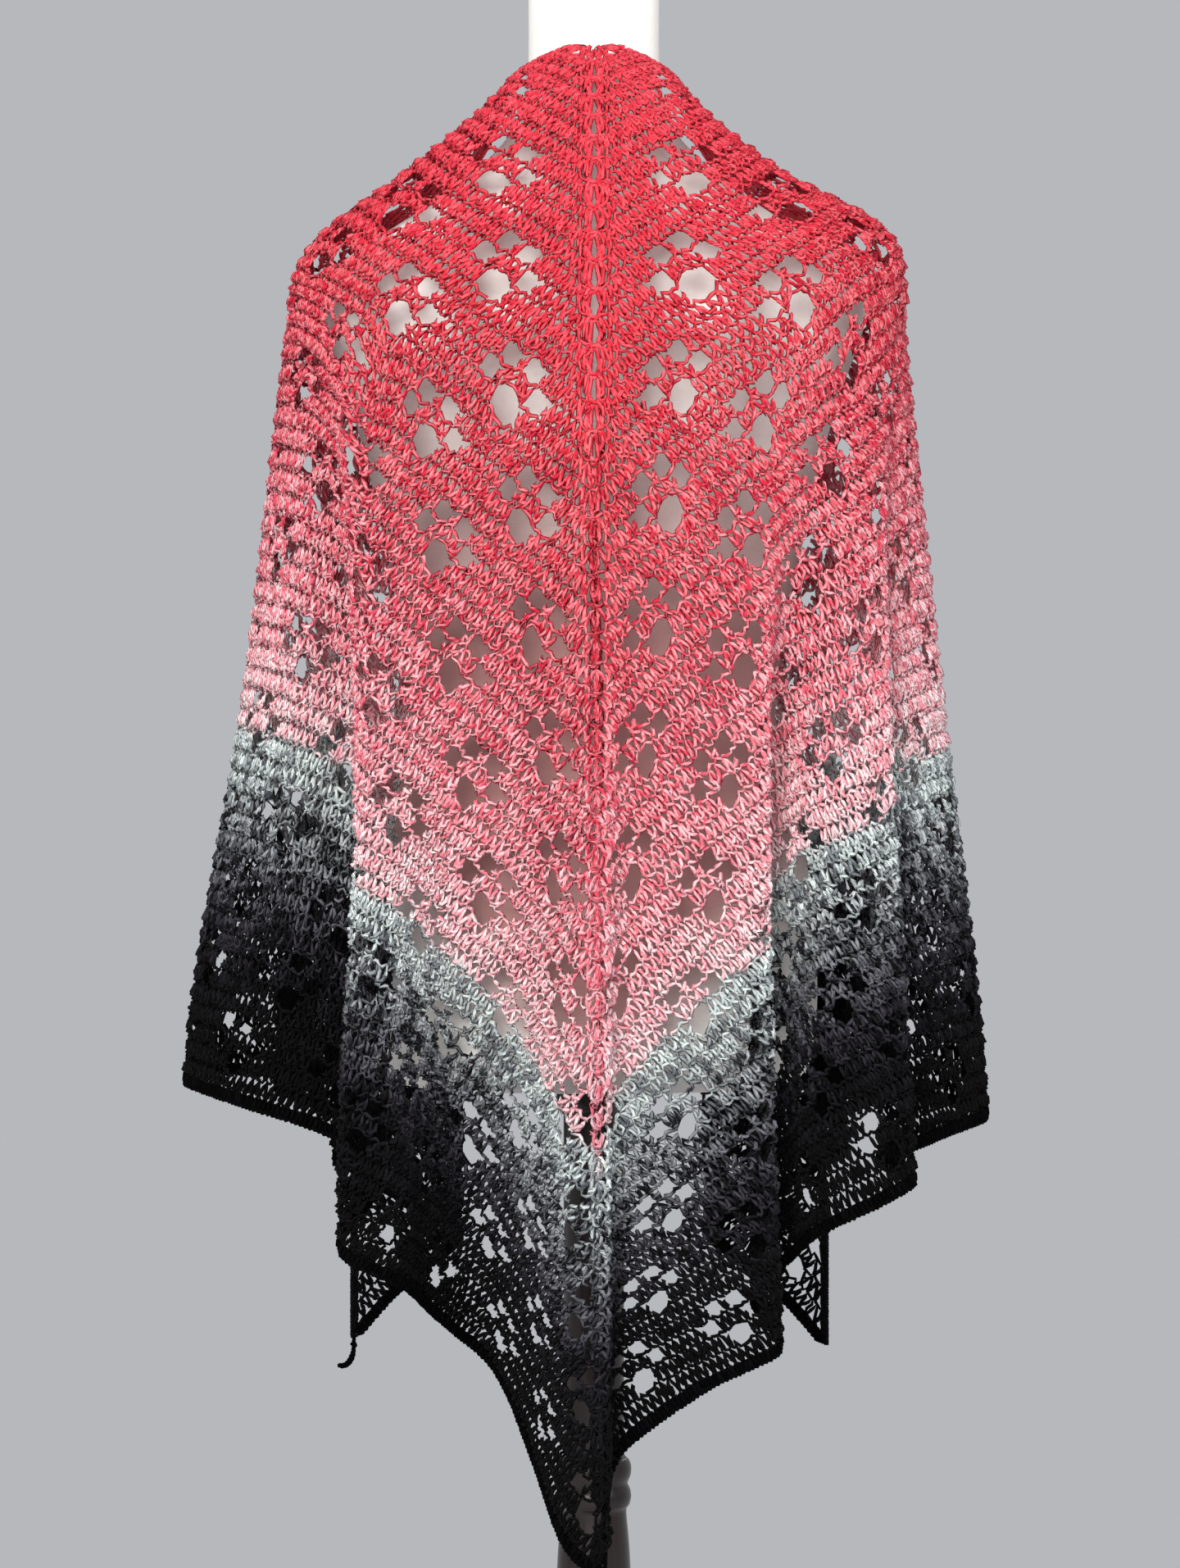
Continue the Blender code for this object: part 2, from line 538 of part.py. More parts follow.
def main():
    for old in list(bpy.data.objects):
        bpy.data.objects.remove(old, do_unlink=True)
    dress_form("dress_form_torso")
    turned("stand_post", POST_PROFILE, POST_SIDES, "wood")
    turned("stand_base", BASE_PROFILE, BASE_SIDES, "wood")
    wing("shawl_left_wing", -1, LEFT_FOLDS)
    wing("shawl_right_wing", 1, RIGHT_FOLDS)
    spine("shawl_spine")
    border("shawl_border_left", -1, LEFT_FOLDS)
    border("shawl_border_right", 1, RIGHT_FOLDS)
    tip = place(-1, BORDER_LAST_ROW, STITCHES_PER_ROW * BORDER_LAST_ROW)
    tube("shawl_yarn_end", [tip + np.array(row[:3]) for row in YARN_END], [row[3] for row in YARN_END], 8, "border")


main()
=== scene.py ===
"""Looks of the crocheted shawl on its dress form: yarn-level crochet laid on the draped form, the padded
form with its cover, the turned post and foot, soft light and a plain floor. Metres, +Z up."""

import math

import bpy
import numpy as np
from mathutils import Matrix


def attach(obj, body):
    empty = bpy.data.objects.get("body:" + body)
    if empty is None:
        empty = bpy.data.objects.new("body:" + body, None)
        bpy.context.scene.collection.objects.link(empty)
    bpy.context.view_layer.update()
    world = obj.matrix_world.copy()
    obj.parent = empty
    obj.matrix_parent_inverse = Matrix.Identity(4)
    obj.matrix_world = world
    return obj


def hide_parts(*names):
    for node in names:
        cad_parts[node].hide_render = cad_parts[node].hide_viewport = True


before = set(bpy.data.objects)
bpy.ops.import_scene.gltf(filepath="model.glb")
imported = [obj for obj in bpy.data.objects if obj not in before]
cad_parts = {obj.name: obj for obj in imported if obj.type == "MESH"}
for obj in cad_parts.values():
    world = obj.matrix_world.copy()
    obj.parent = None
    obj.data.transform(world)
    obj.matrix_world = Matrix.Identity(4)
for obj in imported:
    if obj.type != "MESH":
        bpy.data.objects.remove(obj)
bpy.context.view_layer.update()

# ---------------------------------------------------------------- flat measure of the shawl
ROWS = 60                           # rows from the nape to the hem
ROW_HEIGHT = 0.0125
STITCH = 0.0057
HALF_STEP = 2.0 * STITCH            # each wing grows by this much to each side of its own middle in a row
HALF_ANGLE = math.atan2(HALF_STEP, ROW_HEIGHT)
WING_ANGLE = 2.0 * HALF_ANGLE       # between the spine and the top edge
STITCHES_PER_ROW = 4                # a row k has 4k stitches in each wing
NAPE = (0.0, -0.060, 1.458)

# the folds: each row is one station round the wing, from the spine to the top edge
LEVELS = (0.30, 0.50, 0.74, 0.92)   # distance down the cloth from the nape

# each row: name, then x (outward), y (forward) and fall (height + distance) at the four levels
RIGHT_FOLDS = (
    ("spine",         0.000, -0.166, 1.463,    0.003, -0.178, 1.437,    0.006, -0.188, 1.427,    0.007, -0.192, 1.470),
    ("ridge_flank",   0.018, -0.165, 1.463,    0.013, -0.163, 1.440,    0.009, -0.160, 1.434,    0.008, -0.158, 1.484),
    ("panel_in",      0.040, -0.163, 1.466,    0.031, -0.151, 1.444,    0.023, -0.148, 1.441,    0.018, -0.140, 1.494),
    ("panel_mid",     0.073, -0.157, 1.472,    0.069, -0.150, 1.450,    0.064, -0.152, 1.451,    0.056, -0.146, 1.492),
    ("panel_edge",    0.108, -0.146, 1.480,    0.111, -0.148, 1.457,    0.116, -0.149, 1.458,    0.121, -0.151, 1.485),
    ("tuck_1",        0.134, -0.134, 1.488,    0.106, -0.122, 1.462,    0.102, -0.116, 1.466,    0.104, -0.112, 1.488),
    ("valley_1",      0.150, -0.122, 1.494,    0.122, -0.106, 1.466,    0.124, -0.094, 1.474,    0.128, -0.090, 1.490),
    ("pleat_rise",    0.163, -0.109, 1.500,    0.140, -0.124, 1.468,    0.142, -0.126, 1.480,    0.146, -0.130, 1.490),
    ("pleat_top",     0.176, -0.092, 1.508,    0.166, -0.136, 1.470,    0.172, -0.146, 1.484,    0.176, -0.150, 1.490),
    ("pleat_edge",    0.190, -0.070, 1.522,    0.194, -0.118, 1.478,    0.208, -0.122, 1.484,    0.212, -0.122, 1.490),
    ("tuck_2",        0.201, -0.048, 1.536,    0.182, -0.090, 1.486,    0.188, -0.086, 1.480,    0.190, -0.084, 1.486),
    ("side_back",     0.209, -0.024, 1.552,    0.208, -0.066, 1.496,    0.226, -0.060, 1.481,    0.226, -0.060, 1.484),
    ("side",          0.213,  0.004, 1.562,    0.238, -0.014, 1.506,    0.268, -0.004, 1.482,    0.270, -0.004, 1.480),
    ("side_front",    0.208,  0.034, 1.565,    0.230,  0.040, 1.512,    0.252,  0.050, 1.486,    0.254,  0.050, 1.490),
    ("front_tuck",    0.194,  0.056, 1.567,    0.186,  0.062, 1.520,    0.176,  0.056, 1.504,    0.176,  0.056, 1.508),
    ("front_out",     0.184,  0.070, 1.569,    0.206,  0.094, 1.526,    0.216,  0.096, 1.514,    0.196,  0.094, 1.518),
    ("front_dip",     0.172,  0.084, 1.571,    0.168,  0.100, 1.532,    0.152,  0.092, 1.524,    0.148,  0.092, 1.526),
    ("front_rise",    0.158,  0.098, 1.573,    0.168,  0.130, 1.538,    0.184,  0.136, 1.534,    0.180,  0.134, 1.535),
    ("front_mid",     0.145,  0.108, 1.575,    0.132,  0.126, 1.540,    0.126,  0.126, 1.542,    0.120,  0.124, 1.543),
    ("front_in",      0.132,  0.116, 1.576,    0.098,  0.138, 1.548,    0.088,  0.134, 1.550,    0.086,  0.134, 1.552),
    ("front_turn",    0.121,  0.122, 1.578,    0.092,  0.162, 1.556,    0.082,  0.166, 1.559,    0.086,  0.164, 1.561),
    ("front_back",    0.110,  0.127, 1.579,    0.116,  0.178, 1.562,    0.126,  0.186, 1.565,    0.132,  0.184, 1.566),
    ("top_edge",      0.099,  0.131, 1.580,    0.136,  0.172, 1.568,    0.162,  0.186, 1.563,    0.172,  0.182, 1.558),
)
LEFT_FOLDS = (
    ("spine",         0.000, -0.166, 1.463,   -0.003, -0.178, 1.437,   -0.006, -0.188, 1.427,   -0.007, -0.192, 1.470),
    ("ridge_flank",   0.018, -0.165, 1.460,    0.014, -0.168, 1.436,    0.012, -0.187, 1.427,    0.010, -0.190, 1.466),
    ("panel_in",      0.040, -0.163, 1.458,    0.031, -0.154, 1.440,    0.024, -0.172, 1.428,    0.023, -0.174, 1.464),
    ("panel_mid",     0.075, -0.157, 1.464,    0.064, -0.142, 1.448,    0.048, -0.132, 1.440,    0.042, -0.126, 1.464),
    ("valley",        0.110, -0.146, 1.475,    0.096, -0.146, 1.453,    0.084, -0.088, 1.452,    0.072, -0.072, 1.474),
    ("pleat_rise",    0.134, -0.134, 1.484,    0.120, -0.162, 1.458,    0.110, -0.124, 1.460,    0.102, -0.096, 1.478),
    ("pleat_top",     0.151, -0.120, 1.490,    0.140, -0.168, 1.462,    0.130, -0.168, 1.460,    0.126, -0.156, 1.478),
    ("pleat_edge",    0.166, -0.104, 1.522,    0.153, -0.150, 1.468,    0.164, -0.160, 1.464,    0.162, -0.154, 1.478),
    ("tuck",          0.178, -0.086, 1.530,    0.134, -0.118, 1.486,    0.136, -0.102, 1.484,    0.136, -0.100, 1.488),
    ("side_in",       0.188, -0.067, 1.542,    0.156, -0.098, 1.504,    0.172, -0.088, 1.497,    0.172, -0.084, 1.498),
    ("side_back",     0.200, -0.046, 1.552,    0.198, -0.082, 1.514,    0.226, -0.076, 1.503,    0.228, -0.074, 1.504),
    ("side_turn",     0.208, -0.022, 1.558,    0.228, -0.046, 1.518,    0.262, -0.046, 1.505,    0.264, -0.044, 1.506),
    ("side",          0.210,  0.004, 1.562,    0.239,  0.000, 1.520,    0.279, -0.002, 1.506,    0.280, -0.002, 1.507),
    ("side_front",    0.203,  0.032, 1.565,    0.226,  0.046, 1.524,    0.256,  0.044, 1.510,    0.256,  0.044, 1.511),
    ("front_tuck",    0.193,  0.054, 1.567,    0.180,  0.062, 1.528,    0.178,  0.050, 1.517,    0.180,  0.052, 1.519),
    ("front_out",     0.183,  0.069, 1.569,    0.200,  0.092, 1.532,    0.226,  0.088, 1.525,    0.224,  0.088, 1.527),
    ("front_dip",     0.171,  0.084, 1.571,    0.164,  0.100, 1.530,    0.160,  0.090, 1.532,    0.158,  0.092, 1.534),
    ("front_rise",    0.158,  0.098, 1.573,    0.166,  0.130, 1.536,    0.190,  0.130, 1.539,    0.186,  0.130, 1.541),
    ("front_mid",     0.145,  0.108, 1.575,    0.130,  0.126, 1.543,    0.134,  0.124, 1.546,    0.130,  0.122, 1.548),
    ("front_in",      0.132,  0.116, 1.576,    0.098,  0.138, 1.550,    0.100,  0.134, 1.554,    0.100,  0.132, 1.556),
    ("front_turn",    0.121,  0.122, 1.578,    0.092,  0.162, 1.558,    0.096,  0.166, 1.562,    0.102,  0.164, 1.564),
    ("front_back",    0.110,  0.127, 1.579,    0.116,  0.178, 1.564,    0.134,  0.186, 1.568,    0.140,  0.184, 1.570),
    ("top_edge",      0.100,  0.131, 1.580,    0.136,  0.172, 1.570,    0.166,  0.186, 1.567,    0.178,  0.182, 1.563),
)
# over the neck and shoulders: share of the wing, then x, y, z at one distance down from the nape
CROWN_REACH = 0.05
CROWN = (
    (0.00, 0.000, -0.093, 1.420),
    (0.30, 0.021, -0.088, 1.422),
    (0.60, 0.038, -0.070, 1.430),
    (0.82, 0.045, -0.052, 1.437),
    (1.00, 0.046, -0.036, 1.442),
)
SHOULDER_REACH = 0.15
SHOULDER = (
    (0.00, 0.000, -0.140, 1.327),
    (0.24, 0.055, -0.126, 1.328),
    (0.42, 0.097, -0.094, 1.345),
    (0.58, 0.124, -0.046, 1.369),
    (0.76, 0.117, 0.008, 1.383),
    (1.00, 0.076, 0.044, 1.402),
)
YOKE_REACH = 0.225
RIGHT_YOKE = (
    (0.00, 0.000, -0.155, 1.245),
    (0.16, 0.061, -0.149, 1.247),
    (0.34, 0.133, -0.122, 1.276),
    (0.50, 0.176, -0.078, 1.305),
    (0.64, 0.201, -0.030, 1.326),
    (0.78, 0.197, 0.015, 1.334),
    (0.90, 0.158, 0.052, 1.336),
    (1.00, 0.119, 0.078, 1.342),
)
LEFT_YOKE = (
    (0.00, 0.000, -0.155, 1.245),
    (0.16, 0.060, -0.149, 1.246),
    (0.34, 0.125, -0.122, 1.271),
    (0.50, 0.167, -0.080, 1.297),
    (0.64, 0.193, -0.032, 1.317),
    (0.78, 0.188, 0.015, 1.326),
    (0.90, 0.155, 0.052, 1.331),
    (1.00, 0.118, 0.078, 1.340),
)
SECTION = 161                       # points round a wing in the laid-out cloth
PIN_BACK = 10                       # stations up to here are set by the cloth measured from the spine
PIN_FRONT = 16                      # and from here on by the cloth measured from the top edge
ANGLES = np.linspace(0.0, WING_ANGLE, SECTION)
REACH = np.concatenate([np.linspace(0.0, 0.30, 25)[:-1], np.linspace(0.30, 1.03, 60)])


def through(t, xs, ys):
    """A smooth curve (Hermite, chord slopes) through (xs, ys) at t; flat past the ends."""
    xs = np.asarray(xs, float); ys = np.asarray(ys, float)
    slope = np.gradient(ys, xs, axis=0)
    t = np.clip(t, xs[0], xs[-1])
    i = np.clip(np.searchsorted(xs, t, side="right") - 1, 0, len(xs) - 2)
    h = xs[i + 1] - xs[i]
    u = (t - xs[i]) / h
    if ys.ndim > 1:
        shape = (-1,) + (1,) * (ys.ndim - 1) if np.ndim(t) else ()
        u = np.reshape(u, shape) if shape else u
        h = np.reshape(h, shape) if shape else h
    return ((1 + 2 * u) * (1 - u) ** 2 * ys[i] + u * (1 - u) ** 2 * h * slope[i]
            + u * u * (3 - 2 * u) * ys[i + 1] + u * u * (u - 1) * h * slope[i + 1])


def section(folds, r):
    """(angles, points) of the cloth at one distance r from the nape, r at or past the first level."""
    rows = np.array([row[1:] for row in folds]).reshape(len(folds), len(LEVELS), 3)
    at = through(r, LEVELS, rows.transpose(1, 0, 2))
    knots = np.arange(len(folds), dtype=float)
    fine = np.linspace(0, len(folds) - 1, 12 * (len(folds) - 1) + 1)
    line = through(fine, knots, at)
    step = np.hypot(np.diff(line[:, 0]), np.diff(line[:, 1]))
    arc = np.concatenate([[0.0], np.cumsum(step)])
    pin_a = 12 * PIN_BACK
    pin_b = 12 * PIN_FRONT
    back = arc / r
    front = WING_ANGLE - (arc[-1] - arc) / r
    mix = np.clip((arc - arc[pin_a]) / (arc[pin_b] - arc[pin_a]), 0.0, 1.0)
    angle = back + (front - back) * mix
    return angle, arc, line


def fan(folds, yoke):
    """Points of one wing over REACH x ANGLES, x outward."""
    out = np.zeros((len(REACH), SECTION, 3))
    for n, r in enumerate(REACH):
        if r < LEVELS[0]:
            continue
        angle, arc, line = section(folds, r)
        for c in range(3):
            out[n, :, c] = np.interp(ANGLES, angle, line[:, c])
        out[n, :, 2] -= r
    first = int(np.searchsorted(REACH, LEVELS[0]))
    share = ANGLES / WING_ANGLE
    rings = [np.repeat(np.array([NAPE]), SECTION, axis=0)]
    for table in (CROWN, SHOULDER, yoke):
        rows = np.array(table)
        rings.append(through(share, rows[:, 0], rows[:, 1:]))
    more = (first, first + 3, first + 6)
    rings += [out[n] for n in more]
    reach = [0.0, CROWN_REACH, SHOULDER_REACH, YOKE_REACH] + [REACH[n] for n in more]
    out[:first] = through(REACH[:first], reach, np.array(rings))
    return out


RIGHT = fan(RIGHT_FOLDS, RIGHT_YOKE)
LEFT = fan(LEFT_FOLDS, LEFT_YOKE)


def place(side, row, stitch):
    """World point of the cloth at a row and a stitch counted from the spine; side is +1 right, -1 left."""
    row = np.asarray(row, float); stitch = np.asarray(stitch, float)
    along = -HALF_STEP * row + STITCH * stitch
    down = ROW_HEIGHT * row
    r = np.hypot(along, down)
    phi = HALF_ANGLE + np.arctan2(along, np.maximum(down, 1e-9))
    grid = RIGHT if side > 0 else LEFT
    i = np.clip(np.searchsorted(REACH, r, side="right") - 1, 0, len(REACH) - 2)
    u = (r - REACH[i]) / (REACH[i + 1] - REACH[i])
    f = np.clip(phi / WING_ANGLE, 0, 1) * (SECTION - 1)
    j = np.clip(f.astype(int), 0, SECTION - 2)
    v = (f - j)[..., None]; u = u[..., None]
    p = ((1 - u) * ((1 - v) * grid[i, j] + v * grid[i, j + 1]) + u * ((1 - v) * grid[i + 1, j] + v * grid[i + 1, j + 1]))
    p = p.copy(); p[..., 0] *= side
    return p


def facing(side, row, stitch, step=1.1):
    """Unit normal of the cloth, away from the form."""
    row = np.asarray(row, float)
    stitch = np.asarray(stitch, float)
    last = STITCHES_PER_ROW * row
    low = np.clip(stitch - step, 0.0, last)
    high = np.clip(stitch + step, 0.0, last)
    across = place(side, row, high) - place(side, row, low)
    share = stitch / np.maximum(last, 1e-9)
    up = np.maximum(row - 0.5 * step, 0.2)
    down = row + 0.5 * step
    along = place(side, down, share * STITCHES_PER_ROW * down) - place(side, up, share * STITCHES_PER_ROW * up)
    out = np.cross(along, across) * side
    return out / np.maximum(np.linalg.norm(out, axis=-1, keepdims=True), 1e-12)


# ---------------------------------------------------------------- the paw prints
LATTICE = 0.35                      # a row's posts run from row - LATTICE to row + 1 - LATTICE
PAW_ROWS = 4                        # rows from one line of paws to the next
PAW_STITCHES = 14                   # stitches from one paw to the next along a row
FIRST_PAW_ROW = 6                   # row of the first line of pads
FIRST_PAD = 15.5                    # stitch, from the spine, of the pads in that first line
# offsets of a paw's holes from its pad: rows up, stitches, stitches left out
PAW = (
    ("pad", 0, 0.0, 3),
    ("inner_toe_a", 2, -4.5, 2),
    ("inner_toe_b", 2, -1.5, 2),
    ("outer_toe_a", 1, -4.5, 2),
    ("outer_toe_b", 1, 1.5, 2),
)
# half sizes of the holes in metres: row of the paw, pad down the cloth, pad across, toe down, toe across
HOLE_SIZES = (
    (6, 0.0054, 0.0062, 0.0036, 0.0042),
    (10, 0.0064, 0.0076, 0.0044, 0.0050),
    (14, 0.0086, 0.0086, 0.0054, 0.0054),
    (18, 0.0106, 0.0074, 0.0066, 0.0048),
    (24, 0.0102, 0.0068, 0.0064, 0.0042),
    (34, 0.0090, 0.0058, 0.0058, 0.0037),
    (46, 0.0086, 0.0056, 0.0054, 0.0037),
    (60, 0.0082, 0.0064, 0.0054, 0.0044),
)
RIM = 2.4                           # how far past a hole, in hole radii, its neighbours are moved
REST = 0.0060                       # distance from the middle of a hole to the rows above and below, left to itself


def flat_of(row, stitch):
    return np.stack([-HALF_STEP * row + STITCH * stitch, ROW_HEIGHT * row], -1)


def stitch_line(row, index, at):
    """Stitch coordinate, at row coordinate `at`, of the post with this index in this row."""
    count = STITCHES_PER_ROW * row
    middle = index + 0.5
    from_spine = np.minimum(middle, count - middle)
    lean = 2.0 * (at - row) * np.clip((from_spine - 0.2) / 2.8, 0.0, 1.0)
    near = from_spine + lean
    return np.where(middle <= count / 2, near, STITCHES_PER_ROW * at - near)


def holes_of(rng):
    """Every hole of the openwork in a wing: middle in the flat, unit way down the cloth, half sizes, row, first and last stitch left out."""
    sizes = np.array(HOLE_SIZES)
    found = []
    for line in range(14):
        pad_row = FIRST_PAW_ROW + PAW_ROWS * line
        pad = FIRST_PAD - line
        repeat = 0
        while pad + PAW_STITCHES * repeat < STITCHES_PER_ROW * pad_row:
            middle = pad + PAW_STITCHES * repeat
            repeat += 1
            for name, up, across, width in PAW:
                row = pad_row - up
                if row < 4:
                    continue
                count = STITCHES_PER_ROW * row
                first = middle + across - width / 2
                if first < 0.9 or first + width > count - 0.9:
                    continue
                at = row + (0.1 if name == "pad" else 0.5 - LATTICE)
                centre = float(stitch_line(np.float64(row), np.float64(first + width / 2 - 0.5), np.float64(at)))
                spot = flat_of(np.float64(at), np.float64(centre))
                way = spot / np.linalg.norm(spot)
                size = [np.interp(pad_row, sizes[:, 0], sizes[:, c]) for c in range(1, 5)]
                down, wide = size[:2] if name == "pad" else size[2:]
                jitter = rng.uniform(0.92, 1.08, 2)
                found.append((spot[0], spot[1], way[0], way[1], down * jitter[0] + 0.0011, wide * jitter[1] + 0.0009, row, first, first + width))
    return np.array(found)


def crowd(points, holes, rim=RIM):
    """Moves flat points out of the holes, so that the yarn gathers round them."""
    moved = points.copy()
    shape = moved.shape
    moved = moved.reshape(-1, 2)
    order = np.argsort(moved[:, 1])
    height = moved[order, 1]
    for sweep in range(2):
        shift = np.zeros_like(moved)
        for x, y, wx, wy, down, wide, row, first, last in holes:
            reach = (rim if sweep == 0 else 1.0) * max(down, wide)
            spare = 0.012 if sweep else 0.0
            band = order[np.searchsorted(height, y - reach - spare):np.searchsorted(height, y + reach + spare)]
            near = band[(abs(moved[band, 0] - x) < reach) & (abs(moved[band, 1] - y) < reach)]
            if not len(near):
                continue
            d = moved[near] - (x, y)
            p = (d[:, 0] * wx + d[:, 1] * wy) / down
            q = (d[:, 0] * -wy + d[:, 1] * wx) / wide
            rho = np.hypot(p, q)
            if sweep == 0:
                aside = (q / np.maximum(rho, 1e-6)) ** 2
                beside = 0.55 if row < 0 else (0.5 * (last - first) * STITCH + 0.0005) / wide
                start = np.minimum((REST if row >= 0 else 0.003) / down * (1.0 - aside) + beside * aside, rim - 0.35)
                want = 1.0 + (rim - 1.0) * np.clip((rho - start) / (rim - start), 0.0, None)
            else:
                want = np.maximum(rho, 1.0)
            scale = np.where(rho < rim, want / np.maximum(rho, 1e-6), 1.0)
            p, q = p * scale * down, q * scale * wide
            new = np.stack([p * wx - q * wy, p * wy + q * wx], -1)
            shift[near] += new - d
        moved += shift
    return moved.reshape(shape)


# ---------------------------------------------------------------- the yarn's colours
def linear(colour):
    c = np.asarray(colour, float) / 255.0
    return np.where(c <= 0.04045, c / 12.92, ((c + 0.055) / 1.055) ** 2.4)


# row, light ply, dark ply, share of the strands that are mostly the light ply
YARN = (
    (0.0, (244, 86, 100), (228, 60, 76), 0.50),
    (14.0, (245, 90, 102), (216, 48, 66), 0.50),
    (18.0, (247, 118, 126), (204, 41, 61), 0.45),
    (25.0, (248, 148, 156), (206, 48, 70), 0.45),
    (31.0, (248, 182, 188), (218, 78, 98), 0.50),
    (36.0, (249, 207, 210), (231, 119, 134), 0.55),
    (40.0, (250, 229, 230), (238, 159, 169), 0.60),
    (41.2, (249, 231, 230), (239, 172, 181), 0.60),
    (41.4, (224, 233, 230), (146, 152, 155), 0.68),
    (43.2, (220, 230, 227), (84, 88, 94), 0.60),
    (45.0, (190, 196, 197), (31, 31, 36), 0.46),
    (48.0, (124, 125, 132), (14, 13, 16), 0.42),
    (51.0, (62, 59, 67), (8, 7, 9), 0.38),
    (54.0, (26, 24, 29), (5, 5, 6), 0.36),
    (57.5, (12, 11, 13), (3, 3, 4), 0.36),
    (61.0, (8, 7, 9), (2, 2, 3), 0.36),
)


def yarn_colours(row, rng, draw=None):
    """Light and dark ply of each strand, from the row it lies in."""
    rows = np.array([entry[0] for entry in YARN])
    light = np.array([linear(entry[1]) for entry in YARN])
    dark = np.array([linear(entry[2]) for entry in YARN])
    share = np.array([entry[3] for entry in YARN])
    pick = lambda values: np.stack([np.interp(row, rows, values[:, c]) for c in range(3)], -1)
    a, b = pick(light), pick(dark)
    draw = rng.random(len(row)) if draw is None else 0.5 + 0.5 * np.tanh(draw)
    mostly = np.clip((np.interp(row, rows, share) - draw) * 2.5 + 0.5, 0.0, 1.0)[:, None]
    grey = np.clip((np.asarray(row, float) - 41.1) / 0.6, 0.0, 1.0)[:, None]    # the marl is coarser in the grey rows
    first = b + (a - b) * ((0.62 - 0.36 * grey) + (0.38 + 0.36 * grey) * mostly)
    second = b + (a - b) * (0.30 + 0.28 * grey) * mostly
    tone = rng.normal(1.0, 0.05, (len(row), 1))
    return np.clip(first * tone, 0, 1), np.clip(second * tone, 0, 1)


# ---------------------------------------------------------------- yarn as mesh
YARN_HIGH, YARN_WIDE = 0.94, 1.16    # the yarn is pressed a little flat in the cloth


